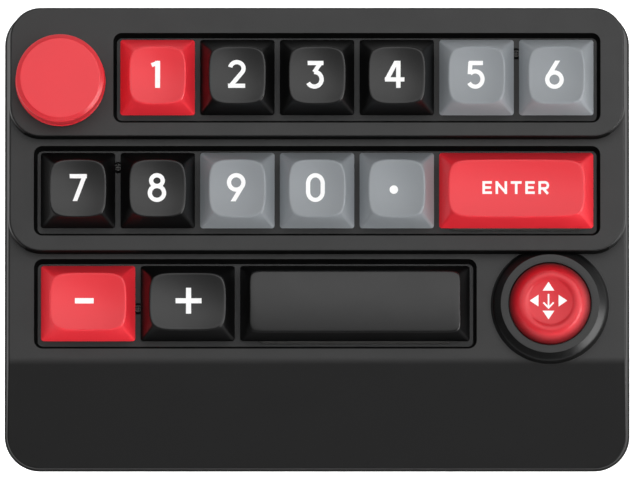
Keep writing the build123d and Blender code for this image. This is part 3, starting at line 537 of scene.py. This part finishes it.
legendShape = dict(width=1.02, shift=-0.2, rise=0.2, proud=0.012, layer=0.004, depth=0.2, step=0.25,
                   nearest=1e-6)   # mm


# Points of an ellipse about (x, y) between two angles in degrees
def arcLine(x, y, radiusX, radiusY, fromAngle, toAngle, count=28):
    angle = np.radians(np.linspace(fromAngle, toAngle, count))
    return np.stack([x + radiusX * np.cos(angle), y + radiusY * np.sin(angle)], axis=-1)


def straight(*spots):
    return np.array(spots, float)


# Centre lines in mm from the middle of the key, drawn with lines and arcs. A stroke joins its lines in one
# path, without points that repeat. It says which of its two ends are cut level, and if it closes on itself.
def stroke(*lines, flat=(False, False), closed=False, width=None):
    path = np.vstack(lines)
    keep = np.r_[True, np.linalg.norm(np.diff(path, axis=0), axis=1) > legendShape["nearest"]]
    return dict(path=path[keep], flat=flat, closed=closed, width=width or legendShape["width"])


figures = {
    "1": [stroke(straight((0.24, 3.23), (0.24, -3.23)), width=1.2),
          stroke(straight((0.5, 2.86), (-1.2, 2.2)), width=0.98)],
    "2": [stroke(arcLine(0.1, 1.43, 1.6, 1.5, 168, -36), straight((-1.4, -2.74)), flat=(False, True)),
          stroke(straight((-1.98, -2.72), (2.1, -2.72)))],
    "3": [stroke(straight((-2.05, 2.72), (1.72, 2.72))),
          stroke(straight((1.12, 2.86), (-0.5, 0.55)), flat=(True, False)),
          stroke(arcLine(-0.44, -1.16, 1.72, 1.76, 92, -150))],
    "4": [stroke(straight((0.16, 3.23), (-2.2, -1.2)), flat=(True, True)),
          stroke(straight((-2.66, -1.2), (2.0, -1.2))),
          stroke(straight((0.54, 3.23), (0.54, -3.23)), width=1.06)],
    "5": [stroke(straight((1.68, 2.72), (-1.7, 2.72))),
          stroke(straight((-1.3, 2.96), (-1.46, 0.06)), flat=(True, True)),
          stroke(arcLine(-0.14, -1.1, 1.72, 1.84, 136, -150))],
    "6": [stroke(arcLine(-0.3, -1.24, 1.72, 1.72, 90, 450), closed=True),
          stroke(straight((0.46, 3.3), (-1.7, -0.3)), flat=(True, False))],
    "7": [stroke(straight((-1.72, 2.72), (2.36, 2.72))),
          stroke(straight((1.9, 2.96), (-0.46, -3.23)), flat=(True, True))],
    "8": [stroke(arcLine(0.06, 1.66, 1.38, 1.28, 90, 450), closed=True),
          stroke(arcLine(0.06, -1.28, 1.7, 1.66, 90, 450), closed=True)],
    "9": [stroke(arcLine(-0.06, 1.24, 1.72, 1.72, 90, 450), closed=True),
          stroke(straight((-0.8, -3.3), (1.34, 0.3)), flat=(True, False))],
    "0": [stroke(arcLine(-0.2, 1.0, 1.74, 1.94, 0, 180), arcLine(-0.2, -1.0, 1.74, 1.94, 180, 360),
                 closed=True)],
    "plus": [stroke(straight((-2.65, 0), (3.55, 0)), width=1.22),
             stroke(straight((0.45, 3.1), (0.45, -3.1)), width=1.22)],
    "minus": [stroke(straight((-2.9, 0), (1.6, 0)), width=1.3)],
    "point": [stroke(arcLine(-0.52, -0.48, 0.5, 0.5, 90, 450), closed=True, width=1.04)],
}
wordShape = dict(thick=0.6, tall=3.04, gap=0.88, wideE=2.25, armE=2.05, wideN=2.75, wideT=2.6, wideR=2.5,
                 bowlX=1.5, bowlY=0.52, bowlReach=0.75, bowlRise=0.74, bowlFoot=-0.22, legTop=(1.2, -0.3),
                 legFoot=2.25)      # mm


# Letters for the wide key, each drawn from its own left edge and set side by side about the middle
def wordStrokes():
    shape = wordShape
    half, mid = shape["tall"] / 2, shape["thick"] / 2
    upper, lower = half - mid, mid - half
    stem = straight((mid, half), (mid, -half))
    farN, midT = shape["wideN"] - mid, shape["wideT"] / 2
    letterE = [stem, straight((mid, upper), (shape["wideE"], upper)), straight((mid, 0), (shape["armE"], 0)),
               straight((mid, lower), (shape["wideE"], lower))]
    letterN = [stem, straight((mid, upper), (farN, lower)), straight((farN, half), (farN, -half))]
    letterT = [straight((0, upper), (shape["wideT"], upper)), straight((midT, half), (midT, -half))]
    bow = arcLine(shape["bowlX"], shape["bowlY"], shape["bowlReach"], shape["bowlRise"], 90, -90)
    bowl = np.vstack([straight((mid, upper)), bow, straight((mid, shape["bowlFoot"]))])
    letterR = [stem, bowl, straight(shape["legTop"], (shape["legFoot"], -half))]
    letters = [(letterE, shape["wideE"]), (letterN, shape["wideN"]), (letterT, shape["wideT"]),
               (letterE, shape["wideE"]), (letterR, shape["wideR"])]
    left = -(sum(wide for letter, wide in letters) + shape["gap"] * (len(letters) - 1)) / 2
    word = []
    for letter, wide in letters:
        word += [stroke(line + (left, 0), width=shape["thick"]) for line in letter]
        left += wide + shape["gap"]
    return word


figures["enter"] = wordStrokes()


# Ribbon along a centre line: at each point the two edges lie half a width out along the mitre of the
# neighbouring runs. A flat end is cut level instead of square. The section has four corners: two on top
# and two sunk below.
def ribbon(line, heightAt, layer):
    half = line["width"] / 2
    path = evenProfile(line["path"], legendShape["step"])
    if line["closed"]:
        path = path[:-1]
    run = np.diff(np.vstack([path, path[:1]]) if line["closed"] else path, axis=0)
    run /= np.linalg.norm(run, axis=1)[:, None]
    before = np.roll(run, 1, axis=0) if line["closed"] else np.vstack([run[:1], run])
    after = run if line["closed"] else np.vstack([run, run[-1:]])
    out = np.stack([-(before + after)[:, 1], (before + after)[:, 0]], axis=-1)
    out /= np.linalg.norm(out, axis=1)[:, None]
    square = np.stack([-after[:, 1], after[:, 0]], axis=-1)
    out *= half / np.sum(out * square, axis=1)[:, None]
    for level, end in zip(line["flat"], (0, -1)):
        if level:
            along = after[end]
            out[end] -= along * out[end][1] / along[1]
    proud = legendShape["proud"] + layer * legendShape["layer"]
    rings = bandRings((path + out) * mm, (path - out) * mm, heightAt, proud, legendShape["depth"])
    return ringSurface(rings, wrap=line["closed"])


# Sections of a band between two edges in plan: both edges raised above the surface, then both sunk below it
def bandRings(left, right, heightAt, proud, depth):
    sections = []
    for edge, rise in ((left, proud), (right, proud), (right, -depth), (left, -depth)):
        sections.append(np.column_stack([edge, heightAt(edge[:, 0], edge[:, 1]) + rise * mm]))
    return np.stack(sections, axis=1)


for name, strokes in figures.items():
    cap = caps[name]
    surfaces = []
    for layer, line in enumerate(strokes):
        moved = dict(line, path=line["path"] + (legendShape["shift"], legendShape["rise"]))
        points, quads, tris = ribbon(moved, cap.topZ, layer)
        surfaces.append((points + (cap.x, cap.y, 0.0), quads, tris))
    makePiece("legend_" + name, surfaces, legendWhite, "key_" + name)
print("stage: legends made,", len(figures))


# Knob

knobShape = dict(radius=10.75, foot=0.5, neck=10.55, band=0.7, shoulder=10.5, bevel=0.95, topRadius=9.5,
                 height=10.6, soft=0.15, wall=7.65, ceiling=8.0, hub=4.6, hubFoot=1.8, bore=3.06, boreTop=8.0,
                 footSoft=0.2, rootSoft=0.4, middle=0.4, step=0.6, columns=160,
                 dimFrom=9.35, dimTo=9.75, dimmest=0.84)     # mm, and the share of colour left at the bevel's outer edge by painted shade


# Turned from the middle of the bore, down the hub, up and over the hollow, down the skirt's inside,
# round its foot, up the side and over the bevel to the middle of the top
def makeKnob():
    shape = knobShape
    low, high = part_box("knob")
    middle = (low + high) / 2
    bore, hub, wall, radius = (shape[key] for key in ("bore", "hub", "wall", "radius"))
    height, ceiling, soft = shape["height"], shape["ceiling"], shape["soft"]
    footSoft, rootSoft = shape["footSoft"], shape["rootSoft"]
    corners = [(shape["middle"], shape["boreTop"], 0), (bore, shape["boreTop"], 0),
               (bore, shape["hubFoot"], 0), (hub, shape["hubFoot"], footSoft),
               (hub, ceiling, rootSoft), (wall, ceiling, rootSoft),
               (wall, 0.0, footSoft), (radius, 0.0, footSoft), (radius, shape["foot"], soft),
               (shape["neck"], shape["band"], soft), (shape["shoulder"], height - shape["bevel"], 2 * soft),
               (shape["topRadius"], height, 2 * soft), (shape["middle"], height, 0)]
    profile = evenProfile(softProfile(corners), shape["step"]) * mm
    rings = turnedRings(profile, (middle.x, middle.y, low.z), shape["columns"])
    # Painted shade: the bevel band darker towards its outer edge
    paintShadeTowardsEdge(redKnob, middle, shape["dimFrom"] * mm, shape["dimTo"] * mm, shape["dimmest"])
    makePiece("controlKnob", [ringSurface(rings)], redKnob, "knob", ["knob"])


makeKnob()


# Thumb-stick: its cap is a ball about the pivot with a rounded ridge round a shallow dish

stickShape = dict(ball=9.72, inner=8.32, skirt=3.0, ceiling=3.7, ridge=6.75, dish=5.3, dishDepth=1.0,
                  bowl=0.55, soft=1.7, ridgeDrop=0.75, middle=0.3, step=0.5, columns=160,
                  dimFrom=7.5, dimTo=9.75, dimmest=0.2)   # mm, and the share of colour left at the edge by painted shade
stickGrid = dict(inside=16, outside=26, floor=12, lip=12, floorFrom=0.75, floorTo=0.05)   # rows, shares
pivot = joints["stick_tilt_back"]["pos_m"]


# Height at which the ball reaches the ridge's radius
def ridgeHeight():
    return math.sqrt(stickShape["ball"] ** 2 - stickShape["ridge"] ** 2)


# Floor of the dish: a bowl that sinks below the dish's edge by bowl (1 - (r / dish)^2)
def stickDishZ(radius):
    edge = ridgeHeight() - stickShape["dishDepth"]
    return edge - stickShape["bowl"] * (1 - np.clip(radius / stickShape["dish"], 0, 1) ** 2)


# Arc of the ball about the pivot between two heights
def ballArc(radius, fromZ, toZ, count):
    angle = np.linspace(math.asin(fromZ / radius), math.asin(toZ / radius), count)
    return radius * np.stack([np.cos(angle), np.sin(angle)], axis=-1)


# Turned from the middle of the ceiling, down the inner ball, up the outer one, over the ridge
# and into the dish
def makeStickCap():
    shape, grid = stickShape, stickGrid
    ridgeZ = ridgeHeight()
    inside = ballArc(shape["inner"], shape["ceiling"], -shape["skirt"], grid["inside"])
    outside = ballArc(shape["ball"], -shape["skirt"], ridgeZ - shape["ridgeDrop"], grid["outside"])
    radii = np.linspace(grid["floorFrom"], grid["floorTo"], grid["floor"]) * shape["dish"]
    floor = [(radius, stickDishZ(radius), 0) for radius in radii]
    lip = softProfile([tuple(outside[-2]) + (0,), (shape["ridge"], ridgeZ, shape["soft"]),
                       (shape["dish"], stickDishZ(shape["dish"]), shape["soft"]), *floor], grid["lip"])
    ceiling = [(shape["middle"], shape["ceiling"])]
    profile = np.vstack([ceiling, inside, outside[:-2], evenProfile(lip, shape["step"])]) * mm
    rings = turnedRings(profile, pivot, shape["columns"])
    # Painted shade: the ball darker towards its edge, where it sinks into the bezel's hole
    paintShadeTowardsEdge(redStick, pivot, shape["dimFrom"] * mm, shape["dimTo"] * mm, shape["dimmest"])
    makePiece("thumbStick", [ringSurface(rings)], redStick, "stick", ["stick_cap"])


makeStickCap()


# Arrow marks on the stick: four solid triangles and a small downward arrow

arrowShape = dict(shift=-0.42, rise=0.36, sharp=0.96, reach=4.5, base=2.4, half=1.4, proud=0.02, depth=0.2,
                  rows=8, shaft=(1.62, -1.7), barb=1.22, barbRise=1.28, line=0.4)     # mm; sharp is a share


# Height of the dish's floor at a place in plan, from the pivot's axis
def stickMarkZ(x, y):
    return pivot[2] + stickDishZ(np.hypot(x, y) / mm) * mm


# A triangle is a band whose edges close in on its tip as (1 - t) base + t tip, turned by quarters
def makeStickMarks():
    shape = arrowShape
    middle = np.array((shape["shift"], shape["rise"]))
    surfaces = []
    for quarter in range(4):
        angle = math.radians(90 * quarter)
        turn = np.array([(math.cos(angle), math.sin(angle)), (-math.sin(angle), math.cos(angle))])
        share = np.linspace(0, shape["sharp"], shape["rows"])[:, None]
        tip = np.array([(0.0, shape["reach"])])
        left = (1 - share) * (-shape["half"], shape["base"]) + share * tip
        right = (1 - share) * (shape["half"], shape["base"]) + share * tip
        left, right = (left @ turn + middle) * mm, (right @ turn + middle) * mm
        surfaces.append(ringSurface(bandRings(left, right, stickMarkZ, shape["proud"], shape["depth"])))
    top, bottom = shape["shaft"]
    barb, barbZ = shape["barb"], bottom + shape["barbRise"]
    arrow = [stroke(straight((0, top), (0, bottom)), width=shape["line"]),
             stroke(straight((-barb, barbZ), (0, bottom), (barb, barbZ)), width=shape["line"])]
    for layer, line in enumerate(arrow):
        surfaces.append(ribbon(dict(line, path=line["path"] + middle), stickMarkZ, layer + 1))
    moved = [(points + (pivot[0], pivot[1], 0.0), quads, tris) for points, quads, tris in surfaces]
    makePiece("stickMarks", moved, legendWhite, "stick")


makeStickMarks()


# Bezel

bezelShape = dict(base=14.15, shoulder=13.65, shoulderZ=3.45, shoulderRound=1.7, top=11.78, hole=9.86,
                  height=5.0, edge=0.14, spigot=11.7, step=0.6, arcRows=6, columns=192)     # mm


# A turned cone with a rounded shoulder and a flat ring on top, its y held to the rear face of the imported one,
# where the next tier starts
def makeBezel():
    shape = bezelShape
    low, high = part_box("stick_bezel")
    spigotDrop = (high.z - low.z) / mm - shape["height"]
    hole, spigot, height, edge = (shape[key] for key in ("hole", "spigot", "height", "edge"))
    corners = [(hole, -spigotDrop, 0), (spigot, -spigotDrop, 0), (spigot, 0, 0), (shape["base"], 0, 0),
               (shape["shoulder"], shape["shoulderZ"], shape["shoulderRound"]), (shape["top"], height, edge),
               (hole, height, edge), (hole, -spigotDrop, 0)]
    profile = evenProfile(softProfile(corners, shape["arcRows"]), shape["step"])[:-1] * mm
    rings = turnedRings(profile, (pivot[0], pivot[1], high.z - height * mm), shape["columns"])
    rings[:, :, 1] = np.minimum(rings[:, :, 1], high.y)
    surface = ringSurface(rings, wrap=True)
    makePiece("stickBezel", [surface], bezelPlastic, "chassis", ["stick_bezel"])


makeBezel()
print("stage: knob, thumb-stick and bezel made")


# Screws and feet: a quarter of the plan holds one of a kind at most, so its points give the box of one

def quarterBoxes(node):
    mesh = nodes[node].data
    points = np.zeros(3 * len(mesh.vertices))
    mesh.vertices.foreach_get("co", points)
    points = points.reshape(-1, 3)
    quarter = 2 * (points[:, 0] > 0) + (points[:, 1] > 0)
    groups = [points[quarter == one] for one in np.unique(quarter)]
    return [(group.min(axis=0), group.max(axis=0)) for group in groups]


# Arms, wall, flat and step are shares of the head's radius, recess of its height, and level of the normal
screwShape = dict(edge=0.34, dome=0.35, soft=0.1, point=0.3, pointLength=0.4, foot=0.2, middle=0.04,
                  armWide=0.16, armLong=0.5, wall=0.09, flat=0.66, step=0.09, recess=0.55, level=0.95,
                  columns=96)
screwKinds = {      # mm
    "plate_screws": dict(piece="plateScrews", facing=1, head=1.3, headHeight=0.9, shank=0.95),
    "case_screws": dict(piece="caseScrews", facing=-1, head=2.3, headHeight=1.5, shank=1.25),
}


# One inside an edge, none outside it, and 1 - s^2 (3 - 2 s) across a wall between them
def fade(value, edge, wall):
    share = np.clip((value - edge + wall / 2) / wall, 0, 1)
    return 1 - share * share * (3 - 2 * share)


# Pan head: a turned profile, heights measured from the head's top, whose top sinks where a cross stands.
# The cross is where the smaller of |x|, |y| is under half an arm's width and the larger under its length.
def screwSurface(low, high, kind):
    shape, facing = screwShape, kind["facing"]
    middle, length = (low + high) / 2, (high[2] - low[2]) / mm
    head, shank, under = kind["head"], kind["shank"], -kind["headHeight"]
    wall, soft = shape["wall"] * head, shape["soft"]
    corners = [(shape["foot"], -length, 0), (shank - shape["point"], -length, 0),
               (shank, shape["pointLength"] - length, 0), (shank, under, 0), (head, under, soft),
               (head, -shape["dome"], shape["edge"]), (shape["flat"] * head, 0.0, soft),
               (shape["middle"], 0.0, 0)]
    profile = evenProfile(softProfile(corners), shape["step"] * head)
    top = middle[0], middle[1], (high[2] if facing > 0 else low[2])
    rings = turnedRings(profile * (1, facing) * mm, top, shape["columns"])
    x, y = np.abs(rings[:, :, 0] - middle[0]) / mm, np.abs(rings[:, :, 1] - middle[1]) / mm
    arms = fade(np.minimum(x, y), shape["armWide"] * head, wall)
    arms = arms * fade(np.maximum(x, y), shape["armLong"] * head, wall)
    onTop = (profile[:, 1] > -shape["dome"]) & (profile[:, 0] < head)
    rings[:, :, 2] -= facing * shape["recess"] * kind["headHeight"] * mm * arms * onTop[:, None]
    return ringSurface(rings)


for node, kind in screwKinds.items():
    surfaces = [screwSurface(low, high, kind) for low, high in quarterBoxes(node)]
    screws = makePiece(kind["piece"], surfaces, blackScrew, "chassis", [node])
    normals = np.zeros(3 * len(screws.data.polygons))
    screws.data.polygons.foreach_get("normal", normals)
    leans = np.abs(normals[2::3]) < screwShape["level"]
    screws.data.materials.append(paintedShadePlastic)       # painted shade round the flat of the head and in its cross
    screws.data.polygons.foreach_set("material_index", leans.astype(np.int32))


footShape = dict(radius=5.0, soft=0.55, rootSoft=0.1, grooveOuter=3.5, grooveInner=2.7, groove=0.35,
                 grooveLean=0.2, grooveSoft=0.15, middle=0.3, step=0.5, columns=96)       # mm


# Turned disc with a rounded lower edge and a ring-shaped groove in its underside
def footSurface(low, high):
    shape = footShape
    top = (high[2] - low[2]) / mm
    outer, inner, soft = shape["grooveOuter"], shape["grooveInner"], shape["grooveSoft"]
    groove, lean = shape["groove"], shape["grooveLean"]
    corners = [(shape["middle"], top, 0), (shape["radius"], top, shape["rootSoft"]),
               (shape["radius"], 0.0, shape["soft"]), (outer, 0.0, soft), (outer - lean, groove, 0),
               (inner + lean, groove, 0), (inner, 0.0, soft), (shape["middle"], 0.0, 0)]
    profile = evenProfile(softProfile(corners), shape["step"]) * mm
    middle = (low + high) / 2
    return ringSurface(turnedRings(profile, (middle[0], middle[1], low[2]), shape["columns"]))


feet = [footSurface(low, high) for low, high in quarterBoxes("rubber_feet")]
makePiece("rubberFeet", feet, footRubber, "chassis", ["rubber_feet"])
print("stage: screws and feet made")


# Floor, light and camera

studio = dict(floorSize=30.0, floorColour=(0.9, 0.9, 0.9), floorRoughness=0.9, floorGlow=0.75, zenith=0.16,
              ring=0.45, skyMirror=0.45, groundMirror=0.52)
plainWhite = (1.0, 1.0, 1.0, 1.0)


def makeFloor():
    mesh = bpy.data.meshes.new("floor")
    half = studio["floorSize"] / 2
    corners = [(-half, -half, 0), (half, -half, 0), (half, half, 0), (-half, half, 0)]
    mesh.from_pydata(corners, [], [(0, 1, 2, 3)])
    floor = bpy.data.objects.new("floor", mesh)
    bpy.context.scene.collection.objects.link(floor)
    material, tree, shader = plainMaterial("floorPaint")
    shader.inputs["Base Color"].default_value = (*studio["floorColour"], 1.0)
    shader.inputs["Roughness"].default_value = studio["floorRoughness"]
    shader.inputs["Emission Color"].default_value = plainWhite
    shader.inputs["Emission Strength"].default_value = studio["floorGlow"]
    mesh.materials.append(material)
    clear = addNode(tree, "ShaderNodeBsdfTransparent")      # from underneath, the floor lets the view through
    mix = addNode(tree, "ShaderNodeMixShader")
    tree.links.new(addNode(tree, "ShaderNodeNewGeometry").outputs["Backfacing"], mix.inputs["Fac"])
    tree.links.new(shader.outputs["BSDF"], mix.inputs[1])
    tree.links.new(clear.outputs["BSDF"], mix.inputs[2])
    tree.links.new(mix.outputs["Shader"], tree.nodes["Material Output"].inputs["Surface"])
    floor.visible_glossy = False


# One operation of two operands, each a socket or a number
def maths(tree, operation, first, second=0.0):
    node = addNode(tree, "ShaderNodeMath", operation=operation)
    for socket, operand in zip(node.inputs, (first, second)):
        if isinstance(operand, (int, float)):
            socket.default_value = operand
        else:
            tree.links.new(operand, socket)
    return node.outputs[0]


# The surround lights the matt part of every surface. With z the rise of the direction, its strength is
# zenith z^2 + ring 4 z^2 (1 - z^2). Mirror-like rays see skyMirror z^2 above the horizon, an even glow
# below it, and the softboxes that show as highlights.
def makeSurround():
    world = bpy.data.worlds.new("surround")
    bpy.context.scene.world = world
    world.use_nodes = True
    tree = world.node_tree
    split = addNode(tree, "ShaderNodeSeparateXYZ")
    tree.links.new(addNode(tree, "ShaderNodeTexCoord").outputs["Generated"], split.inputs[0])
    z = split.outputs["Z"]
    square = maths(tree, "MULTIPLY", z, z)
    ring = maths(tree, "MULTIPLY", maths(tree, "SUBTRACT", 1.0, square), 4 * studio["ring"])
    height = maths(tree, "MULTIPLY", square, maths(tree, "ADD", ring, studio["zenith"]))
    bright = tree.nodes["Background"]
    tree.links.new(height, bright.inputs["Strength"])
    bright.inputs["Color"].default_value = plainWhite
    under = maths(tree, "LESS_THAN", z, 0.0)
    below = maths(tree, "MULTIPLY", under, studio["groundMirror"])
    above = maths(tree, "MULTIPLY", maths(tree, "SUBTRACT", 1.0, under), studio["skyMirror"])
    mirrored = addNode(tree, "ShaderNodeBackground")
    mirrored.inputs["Color"].default_value = plainWhite
    both = maths(tree, "ADD", below, maths(tree, "MULTIPLY", above, square))
    tree.links.new(both, mirrored.inputs["Strength"])
    path = addNode(tree, "ShaderNodeLightPath")
    mix = addNode(tree, "ShaderNodeMixShader")
    tree.links.new(path.outputs["Is Glossy Ray"], mix.inputs["Fac"])
    tree.links.new(bright.outputs["Background"], mix.inputs[1])
    tree.links.new(mirrored.outputs["Background"], mix.inputs[2])
    tree.links.new(mix.outputs["Shader"], tree.nodes["World Output"].inputs["Surface"])


# Softboxes show as highlights; fills light the matt part of the sides and cast no shadow. Metres and watts.
softboxes = {
    "overhead": dict(place=(0.30, 0.30, 1.3), size=(1.5, 1.15), power=9.4, fill=False),
    "rightLow": dict(place=(1.11, -0.565, 0.29), size=(1.04, 0.4), power=10.0, fill=False),
    "rightSide": dict(place=(1.0, 0.25, 0.75), size=(1.0, 0.4), power=5.0, fill=False),
    "leftSide": dict(place=(-0.75, 0.25, 0.95), size=(1.0, 0.3), power=1.6, fill=False),
    "fillRight": dict(place=(1.107, -0.403, 0.549), size=(0.5, 0.5), power=11.5, fill=True),
    "fillLeft": dict(place=(-1.178, 0.0, 0.549), size=(0.5, 0.5), power=4.4, fill=True),
    "fillFront": dict(place=(0.0, -1.178, 0.549), size=(0.5, 0.5), power=5.3, fill=True),
    "fillRear": dict(place=(0.0, 1.178, 0.549), size=(0.5, 0.5), power=5.0, fill=True),
}


def makeSoftbox(name, place, size, power, fill):
    light = bpy.data.lights.new(name, "AREA")
    light.shape = "RECTANGLE"
    light.size, light.size_y = size
    light.energy = power
    light.use_shadow = not fill
    lamp = bpy.data.objects.new(name, light)
    bpy.context.scene.collection.objects.link(lamp)
    lamp.location = place
    lamp.rotation_euler = (Vector(cameraView["aim"]) - Vector(place)).to_track_quat("-Z", "Y").to_euler()
    lamp.visible_camera = False
    lamp.visible_diffuse = fill
    lamp.visible_glossy = not fill


cameraView = dict(elevation=85.7, distance=5.0, frameWidth=0.1530, aim=(0.0007, -0.00121, 0.0238),
                  sensor=36.0, clipEnd=60.0)     # degrees, metres, and the sensor in mm


def makeCamera():
    view = cameraView
    data = bpy.data.cameras.new("photoCamera")
    data.sensor_width = view["sensor"]
    data.lens = view["sensor"] * view["distance"] / view["frameWidth"]
    data.clip_end = view["clipEnd"]
    camera = bpy.data.objects.new("photoCamera", data)
    bpy.context.scene.collection.objects.link(camera)
    lean = math.radians(view["elevation"])
    back = Vector((0.0, -math.cos(lean), math.sin(lean)))
    camera.location = Vector(view["aim"]) + back * view["distance"]
    camera.rotation_euler = (-back).to_track_quat("-Z", "Y").to_euler()
    bpy.context.scene.camera = camera


makeFloor()
makeSurround()
for name, values in softboxes.items():
    makeSoftbox(name, **values)
makeCamera()
bpy.context.scene.view_settings.view_transform = "Standard"
print("stage: studio set")
